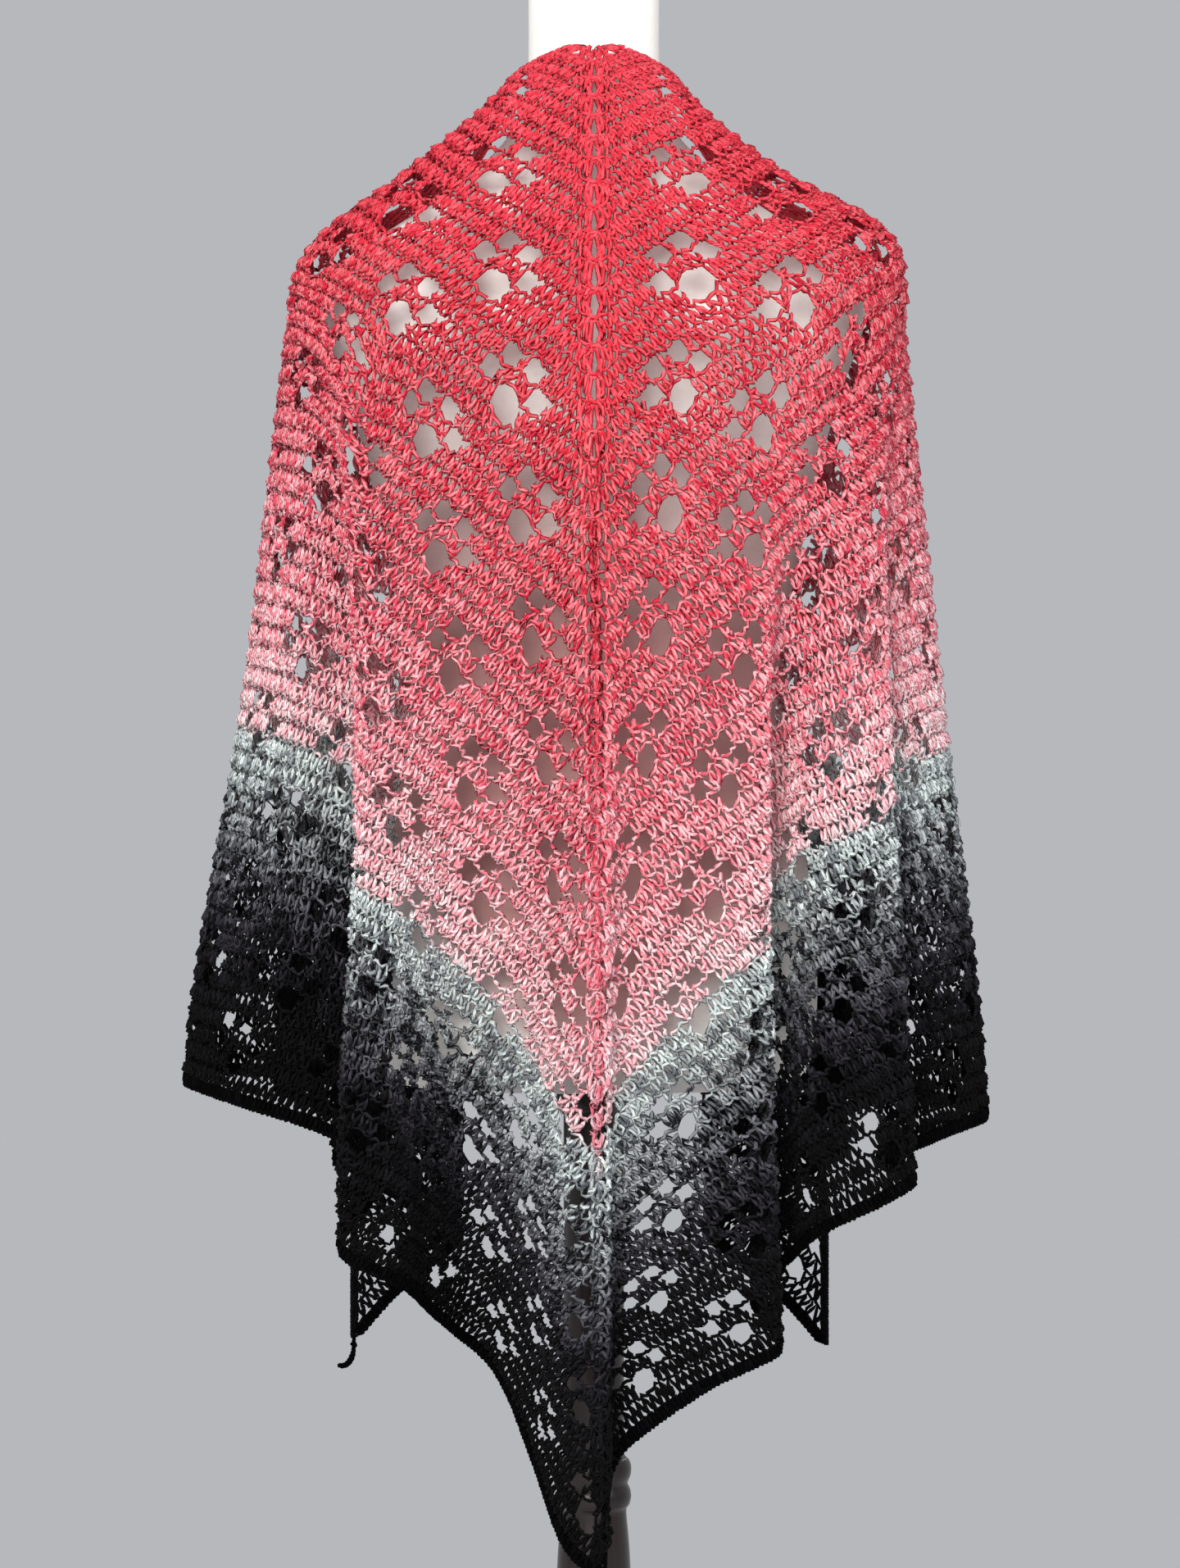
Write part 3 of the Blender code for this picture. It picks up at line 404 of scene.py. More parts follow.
class Yarn:
    """Collects spindle-shaped lengths of yarn and makes one mesh of them."""

    def __init__(self):
        self.parts = []
        self.cords = []

    def add(self, line, radius, normal, light, dark, sides=3, phase=0.0):
        """line (n, m, 3): each length's points, its two ends included; radius (n, m - 2) at the points between."""
        self.parts.append((line, radius, normal, light, dark, sides, phase))

    def cord(self, line, radius, normal, light, dark, sides=3):
        """One long yarn through line (m, 3), with its own radius, normal and plies at each point."""
        self.cords.append((line, radius, normal, light, dark, sides))

    def make(self, name, material):
        verts, cols, cold, corners, lengths, uv, atlas = [], [], [], [], [], [], []
        base = 0
        piece_of = 7                # rings of a cord that share one cell of the baking layout
        total = sum(len(p[0]) for p in self.parts) + sum(-(-(len(c[0]) - 1) // piece_of) for c in self.cords)
        across = int(math.ceil(math.sqrt(total)))
        cell0 = 0
        for line, radius, normal, light, dark, sides in self.cords:
            m = len(line)
            heading = np.empty_like(line)
            heading[1:-1] = line[2:] - line[:-2]
            heading[0], heading[-1] = line[1] - line[0], line[-1] - line[-2]
            heading /= np.maximum(np.linalg.norm(heading, axis=-1, keepdims=True), 1e-12)
            flat = np.cross(heading, normal)
            flat /= np.maximum(np.linalg.norm(flat, axis=-1, keepdims=True), 1e-12)
            rise = np.cross(flat, heading)
            turn = 2 * np.pi * np.arange(sides) / sides
            ring = line[1:-1, None, :] + radius[1:-1, None, None] * (
                np.cos(turn)[None, :, None] * rise[1:-1, None, :] * YARN_HIGH + np.sin(turn)[None, :, None] * flat[1:-1, None, :] * YARN_WIDE)
            rings = m - 2
            verts.append(np.concatenate([line[:1], ring.reshape(-1, 3), line[-1:]]))
            weight = np.concatenate([[0], np.repeat(np.arange(1, m - 1), sides), [m - 1]])
            cols.append(light[weight])
            cold.append(dark[weight])
            run = np.concatenate([[0.0], np.cumsum(np.linalg.norm(np.diff(line, axis=0), axis=1))]) * 1000.0 + (cell0 * 3.71) % 40
            cell = cell0 + np.arange(m - 1) // piece_of
            corner = np.stack([cell % across, cell // across], -1).astype(float)
            low = 0.08 + 0.84 * (np.arange(m - 1) % piece_of) / piece_of
            high = low + 0.84 / piece_of
            s_ = np.arange(sides)
            t_ = (s_ + 1) % sides
            u0, u1 = s_ / sides, (s_ + 1) / sides
            k = np.arange(rings - 1)[:, None]
            a, b = base + 1 + k * sides, base + 1 + (k + 1) * sides
            corners.append(np.stack([a + s_, a + t_, b + t_, b + s_], -1).reshape(-1))
            lengths.append(np.full((rings - 1) * sides, 4))
            r0, r1 = np.broadcast_to(run[1:-2, None], (rings - 1, sides)), np.broadcast_to(run[2:-1, None], (rings - 1, sides))
            v0, v1 = np.broadcast_to(u0, r0.shape), np.broadcast_to(u1, r0.shape)
            uv.append(np.stack([v0, r0, v1, r0, v1, r1, v0, r1], -1).reshape(-1, 2))
            c0, c1 = corner[1:-1, :1], corner[1:-1, 1:]
            w0, w1 = 0.08 + 0.84 * v0, 0.08 + 0.84 * v1
            l0, l1 = np.broadcast_to(low[1:-1, None], r0.shape), np.broadcast_to(high[1:-1, None], r0.shape)
            atlas.append((np.stack([c0 + w0, c1 + l0, c0 + w1, c1 + l0, c0 + w1, c1 + l1, c0 + w0, c1 + l1], -1).reshape(-1, 2)) / across)
            last = base + 1 + rings * sides
            first_ring, last_ring = base + 1, base + 1 + (rings - 1) * sides
            corners.append(np.stack([np.full(sides, base), first_ring + t_, first_ring + s_], -1).reshape(-1))
            corners.append(np.stack([last_ring + s_, last_ring + t_, np.full(sides, last)], -1).reshape(-1))
            lengths.append(np.full(2 * sides, 3))
            mid = 0.5 * (u0 + u1)
            uv.append(np.stack([mid, np.full(sides, run[0]), u1, np.full(sides, run[1]), u0, np.full(sides, run[1])], -1).reshape(-1, 2))
            uv.append(np.stack([u0, np.full(sides, run[-2]), u1, np.full(sides, run[-2]), mid, np.full(sides, run[-1])], -1).reshape(-1, 2))
            for n, flip in ((0, True), (m - 2, False)):
                x, y = corner[n]
                tip, edge = (low[n], high[n]) if flip else (high[n], low[n])
                if flip:
                    block = np.stack([x + 0.08 + 0.84 * mid, np.full(sides, y + tip), x + 0.08 + 0.84 * u1, np.full(sides, y + edge),
                                      x + 0.08 + 0.84 * u0, np.full(sides, y + edge)], -1)
                else:
                    block = np.stack([x + 0.08 + 0.84 * u0, np.full(sides, y + edge), x + 0.08 + 0.84 * u1, np.full(sides, y + edge),
                                      x + 0.08 + 0.84 * mid, np.full(sides, y + tip)], -1)
                atlas.append(block.reshape(-1, 2) / across)
            base = last + 1
            cell0 += -(-(m - 1) // piece_of)
        for line, radius, normal, light, dark, sides, phase in self.parts:
            n, m = line.shape[:2]
            rings = m - 2
            heading = line[:, 2:] - line[:, :-2]
            heading /= np.maximum(np.linalg.norm(heading, axis=-1, keepdims=True), 1e-12)
            flat = np.cross(heading, normal[:, None, :])
            flat /= np.maximum(np.linalg.norm(flat, axis=-1, keepdims=True), 1e-12)
            rise = np.cross(flat, heading)
            turn = 2 * np.pi * np.arange(sides) / sides + phase
            ring = (line[:, 1:-1, None, :] + radius[:, :, None, None] * (
                np.cos(turn)[None, None, :, None] * rise[:, :, None, :] * YARN_HIGH + np.sin(turn)[None, None, :, None] * flat[:, :, None, :] * YARN_WIDE))
            per = rings * sides + 2
            block = np.concatenate([line[:, :1], ring.reshape(n, rings * sides, 3), line[:, -1:]], 1)
            verts.append(block.reshape(-1, 3))
            cols.append(np.repeat(light, per, axis=0))
            cold.append(np.repeat(dark, per, axis=0))
            faces3, faces4, uv3, uv4 = [], [], [], []
            run = np.linspace(0.0, 1.0, m)
            for s in range(sides):
                t = (s + 1) % sides
                u0, u1 = s / sides, (s + 1) / sides
                faces3.append((0, 1 + t, 1 + s))
                uv3.append(((0.5 * (u0 + u1), run[0]), (u1, run[1]), (u0, run[1])))
                for r in range(rings - 1):
                    a, b = 1 + r * sides, 1 + (r + 1) * sides
                    faces4.append((a + s, a + t, b + t, b + s))
                    uv4.append(((u0, run[r + 1]), (u1, run[r + 1]), (u1, run[r + 2]), (u0, run[r + 2])))
                a = 1 + (rings - 1) * sides
                faces3.append((a + s, a + t, per - 1))
                uv3.append(((u0, run[-2]), (u1, run[-2]), (0.5 * (u0 + u1), run[-1])))
            offset = base + per * np.arange(n)[:, None]
            cell = cell0 + np.arange(n)
            corner = np.stack([cell % across, cell // across], -1).astype(float)
            size = np.linalg.norm(np.diff(line, axis=1), axis=-1).sum(1)
            for faces, places, k in ((faces3, uv3, 3), (faces4, uv4, 4)):
                if not faces:
                    continue
                f = np.array(faces).reshape(-1)
                corners.append((offset + f[None, :]).reshape(-1))
                lengths.append(np.full(n * len(faces), k))
                w = np.array(places).reshape(1, -1, 2)
                yarn = np.repeat(w, n, axis=0)
                yarn[..., 1] = yarn[..., 1] * size[:, None] * 1000.0 + (cell * 7.31 % 50)[:, None]
                uv.append(yarn.reshape(-1, 2))
                baked = (corner[:, None, :] + 0.08 + 0.84 * w) / across
                atlas.append(baked.reshape(-1, 2))
            base += n * per
            cell0 += n
        verts = np.concatenate(verts)
        corners = np.concatenate(corners)
        lengths = np.concatenate(lengths)
        mesh = bpy.data.meshes.new(name)
        mesh.vertices.add(len(verts))
        mesh.vertices.foreach_set("co", verts.astype(np.float32).ravel())
        mesh.loops.add(len(corners))
        mesh.loops.foreach_set("vertex_index", corners.astype(np.int32))
        mesh.polygons.add(len(lengths))
        mesh.polygons.foreach_set("loop_start", np.concatenate([[0], np.cumsum(lengths)[:-1]]).astype(np.int32))
        mesh.polygons.foreach_set("use_smooth", np.ones(len(lengths), bool))
        baked = mesh.uv_layers.new(name="OFBake")
        baked.data.foreach_set("uv", np.concatenate(atlas).astype(np.float32).ravel())
        twist = mesh.uv_layers.new(name="Twist")
        twist.data.foreach_set("uv", np.concatenate(uv).astype(np.float32).ravel())
        for title, values in (("PlyLight", cols), ("PlyDark", cold)):
            values = np.concatenate(values)
            layer = mesh.color_attributes.new(title, "FLOAT_COLOR", "POINT")
            layer.data.foreach_set("color", np.concatenate([values, np.ones((len(values), 1))], 1).astype(np.float32).ravel())
        mesh.update(calc_edges=True)
        mesh.materials.append(material)
        made = bpy.data.objects.new(name, mesh)
        bpy.context.scene.collection.objects.link(made)
        return made


# the yarn of a stitch in the measure of its own cell: side, share down the row and height (mm)
FRONT_POSTS = (         # down one leg of the stitch and up the other
    (-0.50, -0.07, -1.7),
    (-0.30, 0.22, 0.5),
    (-0.24, 0.74, 0.6),
    (0.00, 1.05, -1.6),
    (0.22, 0.72, 0.5),
    (0.28, 0.24, 0.6),
)
BACK_POSTS = (
    (-0.46, -0.05, -1.8),
    (-0.32, 0.26, 0.3),
    (-0.24, 0.70, 0.5),
    (-0.04, 1.05, -1.7),
    (0.12, 0.64, 0.6),
    (0.32, 0.32, 0.7),
)
POST_SWELL = (0.60, 1.0, 1.0, 0.60, 1.0, 1.0)
FRONT_CHAIN = ((-0.48, 1.06, -0.9), (-0.20, 0.80, 0.9), (0.18, 0.98, 1.0))
BACK_CHAIN = ((-0.48, 1.05, -1.0), (-0.18, 0.82, 0.3), (0.18, 0.98, 0.4))
FRONT_WRAP = (-0.46, 0.40, -0.5, -0.28, 0.56, 1.4, 0.02, 0.56, 2.1, 0.28, 0.38, 1.5, 0.42, 0.22, -0.3)
BACK_WRAP = (-0.44, 0.56, -0.3, -0.26, 0.74, 1.3, 0.06, 0.70, 2.1, 0.28, 0.46, 1.6, 0.36, 0.26, -0.2)
# thickness of the yarn in metres (radius of a strand) by row: the cloth is denser at the top
YARN_RADIUS = ((0.0, 0.00162), (20.0, 0.00162), (34.0, 0.00162), (46.0, 0.00150), (60.0, 0.00132))


def lay(side, at, j, height, holes):
    """World points and normals of the cloth for yarn at row and stitch coordinates, raised by height in mm."""
    at = np.maximum(at, 0.25)
    j = np.clip(j, 0.22, STITCHES_PER_ROW * at - 0.1)
    flat = crowd(flat_of(at, j), holes)
    at = np.maximum(flat[..., 1] / ROW_HEIGHT, 0.2)
    j = np.clip((flat[..., 0] + HALF_STEP * at) / STITCH, 0.0, STITCHES_PER_ROW * at)
    normal = facing(side, at, j)
    height = height + crease(at, j)
    return place(side, at, j) + normal * height[..., None] * 0.001, normal


def crease(at, j):
    """Height in mm of the folds that gather along the spine below the shoulders."""
    strength = np.clip((at - 15.0) / 6.0, 0.0, 1.0)
    return strength * (2.2 * np.exp(-((j - 2.7) / 1.5) ** 2) - 9.0 * np.exp(-(j / 0.95) ** 2))


def valley(at, j):
    """Share of its colour that the yarn keeps in the gathered valley along the spine: a painted shade of the fold,
    tinted red as painted light bounced between the pink strands.
    """
    amount = np.clip((at - 17.0) / 5.0, 0.0, 1.0) * np.clip((43.5 - at) / 3.0, 0.0, 1.0) * np.exp(-(j / 1.25) ** 2)
    return 1.0 - amount[..., None] * (0.22, 0.62, 0.55)


def wing_rows(side, first_row, last_row, holes, rng):
    """The stitches of some rows of one wing: the legs of the posts, then the chain and the turns laid over them."""
    legs, over = Yarn(), Yarn()
    radii = np.array(YARN_RADIUS)
    cells = []
    for row in range(first_row, last_row + 1):
        index = np.arange(STITCHES_PER_ROW * row, dtype=float)
        keep = np.ones(len(index), bool)
        for hole in holes[holes[:, 6] == row]:
            keep &= ~((index + 0.5 > hole[7]) & (index + 0.5 < hole[8]))
        cells.append(np.stack([np.full(len(index), float(row)), index, keep], -1))
    cells = np.concatenate(cells)
    row, index, keep = cells[:, 0], cells[:, 1], cells[:, 2] > 0.5
    front = row % 2 == 0
    wobble = rng.normal(0.0, 1.0, (len(row), 4))
    thick = np.interp(row, radii[:, 0], radii[:, 1]) * np.clip(1.0 + wobble[:, 3] * 0.05, 0.85, 1.15)

    for kind, tables in (("posts", (FRONT_POSTS, BACK_POSTS)), ("chain", (FRONT_CHAIN, BACK_CHAIN))):
        values = np.where(front[:, None, None], np.array(tables[0])[None], np.array(tables[1])[None])
        n, m = values.shape[:2]
        extra = rng.normal(0.0, 1.0, (n, m, 3)) * (0.065, 0.042, 0.34)
        s = values[..., 0] + wobble[:, :1] * 0.03 + extra[..., 0]
        t = values[..., 1] + wobble[:, 1:2] * 0.015 + extra[..., 1]
        d = values[..., 2] + wobble[:, 2:3] * 0.15 + extra[..., 2]
        at = row[:, None] - LATTICE + t
        points, normals = lay(side, at, stitch_line(row[:, None], index[:, None], at) + s, d, holes)
        light, dark = yarn_colours(np.repeat(row, m) + t.reshape(-1) - 0.5 + np.repeat(wobble[:, 2] * 0.2, m), rng, np.repeat(wobble[:, 0], m))
        # painted shade of the fold along the spine, with its painted red bounce light, taken off the plies' colours
        painted_shade = valley(at, stitch_line(row[:, None], index[:, None], at) + s)
        light, dark = light.reshape(n, m, 3) * painted_shade, dark.reshape(n, m, 3) * painted_shade
        chosen = keep if kind == "posts" else np.ones(n, bool)
        breaks = np.nonzero((np.diff(row) != 0) | (np.diff(chosen.astype(int)) != 0))[0] + 1
        for run in np.split(np.arange(n), breaks):
            if not chosen[run[0]]:
                continue
            (legs if kind == "posts" else over).cord(points[run].reshape(-1, 3), (thick[run][:, None] * (POST_SWELL if kind == "posts" else (0.78, 0.92, 0.92))).reshape(-1),
                normals[run].reshape(-1, 3), light[run].reshape(-1, 3), dark[run].reshape(-1, 3))

    for kind, wrap in ((True, FRONT_WRAP), (False, BACK_WRAP)):
        values = np.array(wrap).reshape(5, 3)
        chosen = keep & (front == kind)
        r, i, w = row[chosen], index[chosen], wobble[chosen]
        n = len(r)
        if not n:
            continue
        extra = rng.normal(0.0, 1.0, (n, 5, 3)) * (0.07, 0.05, 0.3)
        s = values[None, :, 0] * side + w[:, :1] * 0.03 + extra[..., 0]
        t = values[None, :, 1] + w[:, 1:2] * 0.04 + extra[..., 1]
        d = values[None, :, 2] + extra[..., 2]
        at = r[:, None] - LATTICE + t
        points, normals = lay(side, at, stitch_line(r[:, None], i[:, None], at) + s, d, holes)
        light, dark = yarn_colours(r + 0.1 * rng.normal(0.0, 1.0, n), rng)
        # painted shade of the fold along the spine, with its painted red bounce light, taken off the plies' colours
        painted_shade = valley(at, stitch_line(r[:, None], i[:, None], at) + s)[:, 2]
        light, dark = light * painted_shade, dark * painted_shade
        over.add(points, np.repeat((thick[chosen] * 1.0)[:, None], 3, axis=1), normals[:, 2], light, dark)
    return legs, over


# ---------------------------------------------------------------- spine, cords and the yarn end
def spine_holes():
    """The gaps along the spine, one in each row, as holes of a wing's flat."""
    found = []
    for row in range(2, 18):
        at = row + 0.16
        spot = flat_of(np.float64(at), np.float64(0.0))
        way = spot / np.linalg.norm(spot)
        found.append((spot[0], spot[1], way[0], way[1], 0.0066, 0.0056, -1, 0.0, 0.0))
    return np.array(found)


def across_spine(row, stitch):
    """Points and normals on the cloth near the spine; stitch is negative on the left wing."""
    row = np.asarray(row, float)
    stitch = np.asarray(stitch, float)
    near = np.abs(stitch)
    p = np.where(stitch[..., None] >= 0, place(1, row, near), place(-1, row, near))
    share = np.clip(0.5 + stitch / 1.6, 0.0, 1.0)[..., None]
    n = facing(1, row, np.maximum(near, 0.3)) * share + facing(-1, row, np.maximum(near, 0.3)) * (1.0 - share)
    return p, n / np.linalg.norm(n, axis=-1, keepdims=True)


SPINE_LENGTHS = (   # stitch, share of the row and height (mm) of four points, thickness
    (-1.00, 0.88, 0.2, -0.36, 0.98, 1.0, 0.32, 1.03, 1.1, 0.96, 0.92, 0.2, 0.95),
    (-0.80, 1.02, -0.9, -0.26, 1.12, -0.2, 0.26, 1.10, -0.2, 0.80, 1.02, -0.9, 0.90),
    (-0.10, 0.00, 0.0, -0.70, 0.10, 0.7, -1.10, 0.34, 0.6, -1.16, 0.58, -0.3, 0.84),
    (0.10, 0.00, 0.0, 0.70, 0.10, 0.7, 1.10, 0.34, 0.6, 1.16, 0.58, -0.3, 0.84),
    (-1.16, 0.46, -0.3, -1.06, 0.68, 0.6, -0.66, 0.88, 0.6, -0.16, 1.00, -0.2, 0.84),
    (1.16, 0.46, -0.3, 1.06, 0.68, 0.6, 0.66, 0.88, 0.6, 0.16, 1.00, -0.2, 0.84),
)


def spine_yarn(rng):
    yarn = Yarn()
    rows = np.arange(1, ROWS, dtype=float)
    radii = np.array(YARN_RADIUS)
    every = rows
    for number, entry in enumerate(SPINE_LENGTHS):
        rows = every if number < 2 else every[every < 18]
        values, thick = np.array(entry[:12]).reshape(4, 3), entry[12]
        extra = rng.normal(0.0, 1.0, (len(rows), 4, 3)) * (0.03, 0.015, 0.12)
        at = np.maximum(rows[:, None] - LATTICE + values[None, :, 1] + extra[..., 1], 0.5)
        p, n = across_spine(at, values[None, :, 0] + extra[..., 0])
        line = p + n * (values[None, :, 2] + extra[..., 2] + crease(at, np.abs(values[None, :, 0])))[..., None] * 0.001
        size = np.interp(rows, radii[:, 0], radii[:, 1]) * thick * np.where(rows < 18, 1.0, 0.8)
        light, dark = yarn_colours(rows + 0.15, rng)
        # painted shade of the fold along the spine, with its painted red bounce light, taken off the plies' colours
        painted_shade = valley(rows, np.zeros(len(rows)))
        yarn.add(line, np.repeat(size[:, None], 2, axis=1), n[:, 1], light * painted_shade, dark * painted_shade, sides=4)
    return yarn


def top_edge(side, rng):
    """The corded top edge: two yarns' worth of turning loops along the ends of the rows."""
    yarn = Yarn()
    step = 0.26
    start = np.arange(1.3, ROWS - 0.2, step)
    for offset, lift, back, thick in ((0.0, 0.9, 0.0, 1.15), (0.5, -0.9, 0.0, 1.15), (0.25, 0.0, 0.55, 1.1)):
        at = start[:, None] + offset * step + np.array([-0.10, 0.06, 0.24, 0.40])[None, :]
        inward = back + np.array([0.25, -0.05, 0.10, 0.42])[None, :] + rng.normal(0, 0.05, (len(start), 4))
        count = STITCHES_PER_ROW * at
        j = np.clip(count - inward, 0.2, count)
        n = facing(side, at, j)
        p = place(side, at, j)
        height = lift + np.array([-0.5, 0.4, 0.5, -0.5])[None, :] * (1.0 if lift >= 0 else -1.0)
        line = p + n * height[..., None] * 0.001
        light, dark = yarn_colours(start, rng)
        radii = np.array(YARN_RADIUS)
        size = np.interp(start, radii[:, 0], radii[:, 1]) * thick
        yarn.add(line, np.repeat(size[:, None], 2, axis=1), n[:, 1], light, dark, sides=4)
    return yarn


def border_yarn(side, rng):
    """The corded last row: slanting loops laid side by side over a core."""
    yarn = Yarn()
    pitch = 0.62
    last = STITCHES_PER_ROW * 60.0
    start = np.arange(0.35, last - 0.4, pitch)
    fade = np.clip(start / 5.0, 0.35, 1.0)
    for face, slant, rows in ((1.0, 1.0, (59.56, 59.66, 59.98, 60.16)), (-1.0, -1.0, (59.56, 59.68, 59.98, 60.16)),
                              (0.55, -0.6, (59.96, 60.06, 60.20, 60.24))):
        rows = np.array(rows)[None, :] + rng.normal(0, 0.012, (len(start), 4))
        j = start[:, None] + slant * np.array([-0.46, -0.22, 0.30, 0.58])[None, :] + rng.normal(0, 0.05, (len(start), 4))
        j = np.clip(j, 0.12, STITCHES_PER_ROW * rows - 0.05)
        n = facing(side, rows, j)
        p = place(side, rows, j)
        height = face * np.array([0.1, 1.15, 1.25, 0.2])[None, :] * fade[:, None]
        line = p + n * height[..., None] * 0.001
        light, dark = yarn_colours(np.full(len(start), 60.0), rng)
        size = 0.00128 * (0.75 + 0.25 * fade) * (1.0 + rng.normal(0, 0.05, len(start)))
        middle = 1.12 * size
        yarn.add(line, np.stack([size, middle], -1), n[:, 1], light, dark, sides=5)
    return yarn


YARN_END = (                        # offset from the tip of the left wing, then radius
    (0.0016, 0.000, 0.0105, 0.0013),
    (0.0012, 0.000, 0.0055, 0.0014),
    (0.0010, 0.000, 0.0005, 0.0015),
    (0.0008, 0.000, -0.0038, 0.0017),
    (-0.0004, 0.001, -0.0085, 0.0022),
    (-0.0030, 0.001, -0.0130, 0.0022),
    (-0.0070, 0.000, -0.0150, 0.0020),
    (-0.0110, -0.001, -0.0140, 0.0015),
)


def end_yarn(rng):
    """The two ends of yarn left hanging, each laid round the other, knotted at the top."""
    tip = place(-1, 60.25, STITCHES_PER_ROW * 60.25)
    knots = np.array(YARN_END)
    fine = np.linspace(0.0, len(knots) - 1, 26)
    middle = tip + through(fine, np.arange(len(knots), dtype=float), knots[:, :3])
    thick = through(fine, np.arange(len(knots), dtype=float), knots[:, 3:4])[:, 0]
    heading = np.gradient(middle, axis=0)
    heading /= np.linalg.norm(heading, axis=1)[:, None]
    u = np.cross(heading, (0.0, 1.0, 0.0))
    u /= np.linalg.norm(u, axis=1)[:, None]
    v = np.cross(heading, u)
    yarn = Yarn()
    light, dark = yarn_colours(np.full(1, 60.0), rng)
    for k in range(3):
        turn = 2 * np.pi * (k / 3 + fine * 0.55)
        line = middle + (np.cos(turn)[:, None] * u + np.sin(turn)[:, None] * v) * (thick * 0.48)[:, None]
        yarn.add(line[None], (thick * 0.56)[None, 1:-1], v[:1], light, dark, sides=8)
    knot = np.linspace(0, 2 * np.pi * 1.15, 16)
    ring = middle[6] + 0.0016 * (np.cos(knot)[:, None] * u[6] + np.sin(knot)[:, None] * v[6]) + heading[6] * (knot * 0.0003)[:, None]
    yarn.add(ring[None], np.full((1, 14), 0.0011), v[:1], light, dark, sides=8)
    return yarn


# ---------------------------------------------------------------- the form and its stand
# the dress form: height, half width, half depth, forward shift of the section, squareness
FORM_SECTIONS = (
    (0.7510, 0.118, 0.070, 0.002, 2.2),
    (0.7530, 0.132, 0.081, 0.002, 2.2),
    (0.7590, 0.143, 0.089, 0.002, 2.2),
    (0.7700, 0.149, 0.094, 0.002, 2.2),
    (0.8000, 0.153, 0.097, 0.002, 2.3),
    (0.8400, 0.153, 0.096, 0.002, 2.3),
    (0.8800, 0.150, 0.093, 0.002, 2.3),
    (0.9200, 0.143, 0.089, 0.002, 2.3),
    (0.9600, 0.132, 0.085, 0.003, 2.3),
    (1.0000, 0.125, 0.083, 0.004, 2.3),
    (1.0400, 0.127, 0.086, 0.006, 2.3),
    (1.0800, 0.134, 0.091, 0.008, 2.3),
    (1.1200, 0.143, 0.097, 0.010, 2.3),
    (1.1600, 0.152, 0.102, 0.010, 2.3),
    (1.2000, 0.162, 0.104, 0.008, 2.3),
    (1.2300, 0.171, 0.102, 0.004, 2.3),
    (1.2550, 0.180, 0.098, 0.000, 2.3),
    (1.2750, 0.186, 0.092, -0.004, 2.3),
    (1.2930, 0.186, 0.086, -0.006, 2.3),
    (1.3080, 0.178, 0.081, -0.008, 2.3),
    (1.3220, 0.161, 0.076, -0.010, 2.25),
    (1.3360, 0.139, 0.071, -0.010, 2.2),
    (1.3500, 0.117, 0.066, -0.010, 2.15),
    (1.3640, 0.097, 0.061, -0.009, 2.1),
    (1.3780, 0.080, 0.056, -0.008, 2.05),
    (1.3920, 0.066, 0.051, -0.006, 2.0),
    (1.4060, 0.0555, 0.0465, -0.004, 2.0),
    (1.4220, 0.0490, 0.0435, -0.003, 2.0),
    (1.4400, 0.0458, 0.0425, -0.002, 2.0),
    (1.4600, 0.0448, 0.0425, -0.001, 2.0),
    (1.4850, 0.0448, 0.0428, 0.000, 2.0),
    (1.5020, 0.0445, 0.0425, 0.000, 2.0),
    (1.5100, 0.0410, 0.0392, 0.000, 2.0),
    (1.5150, 0.0330, 0.0315, 0.000, 2.0),
    (1.5180, 0.0180, 0.0172, 0.000, 2.0),
)
FORM_TOP = 1.5190
FORM_UNDERSIDE = 0.7500

# the turned post: height, radius
POST_PROFILE = (
    (0.0223, 0.0330),
    (0.0300, 0.0345),
    (0.0400, 0.0335),
    (0.0500, 0.0270),
    (0.0580, 0.0235),
    (0.0660, 0.0240),
    (0.0730, 0.0285),
    (0.0800, 0.0300),
    (0.0870, 0.0285),
    (0.0940, 0.0235),
    (0.1200, 0.0225),
    (0.1800, 0.0235),
    (0.2500, 0.0250),
    (0.3200, 0.0260),
    (0.3800, 0.0262),
    (0.4200, 0.0252),
    (0.4400, 0.0240),
    (0.4550, 0.0226),
    (0.4610, 0.0226),
    (0.4640, 0.0246),
    (0.4690, 0.0257),
    (0.4740, 0.0250),
    (0.4775, 0.0234),
    (0.4800, 0.0238),
    (0.4840, 0.0254),
    (0.4890, 0.0258),
    (0.4935, 0.0246),
    (0.4960, 0.0222),
    (0.5000, 0.0210),
    (0.6000, 0.0208),
    (0.7200, 0.0208),
    (0.7330, 0.0215),
    (0.7400, 0.0250),
    (0.7470, 0.0260),
    (0.7497, 0.0258),
)

# the foot: height, radius
BASE_PROFILE = (
    (0.0000, 0.1440),
    (0.0020, 0.1480),
    (0.0060, 0.1500),
    (0.0110, 0.1500),
    (0.0150, 0.1480),
    (0.0165, 0.1440),
    (0.0172, 0.1380),
    (0.0200, 0.0600),
    (0.0205, 0.0420),
    (0.0220, 0.0400),
)


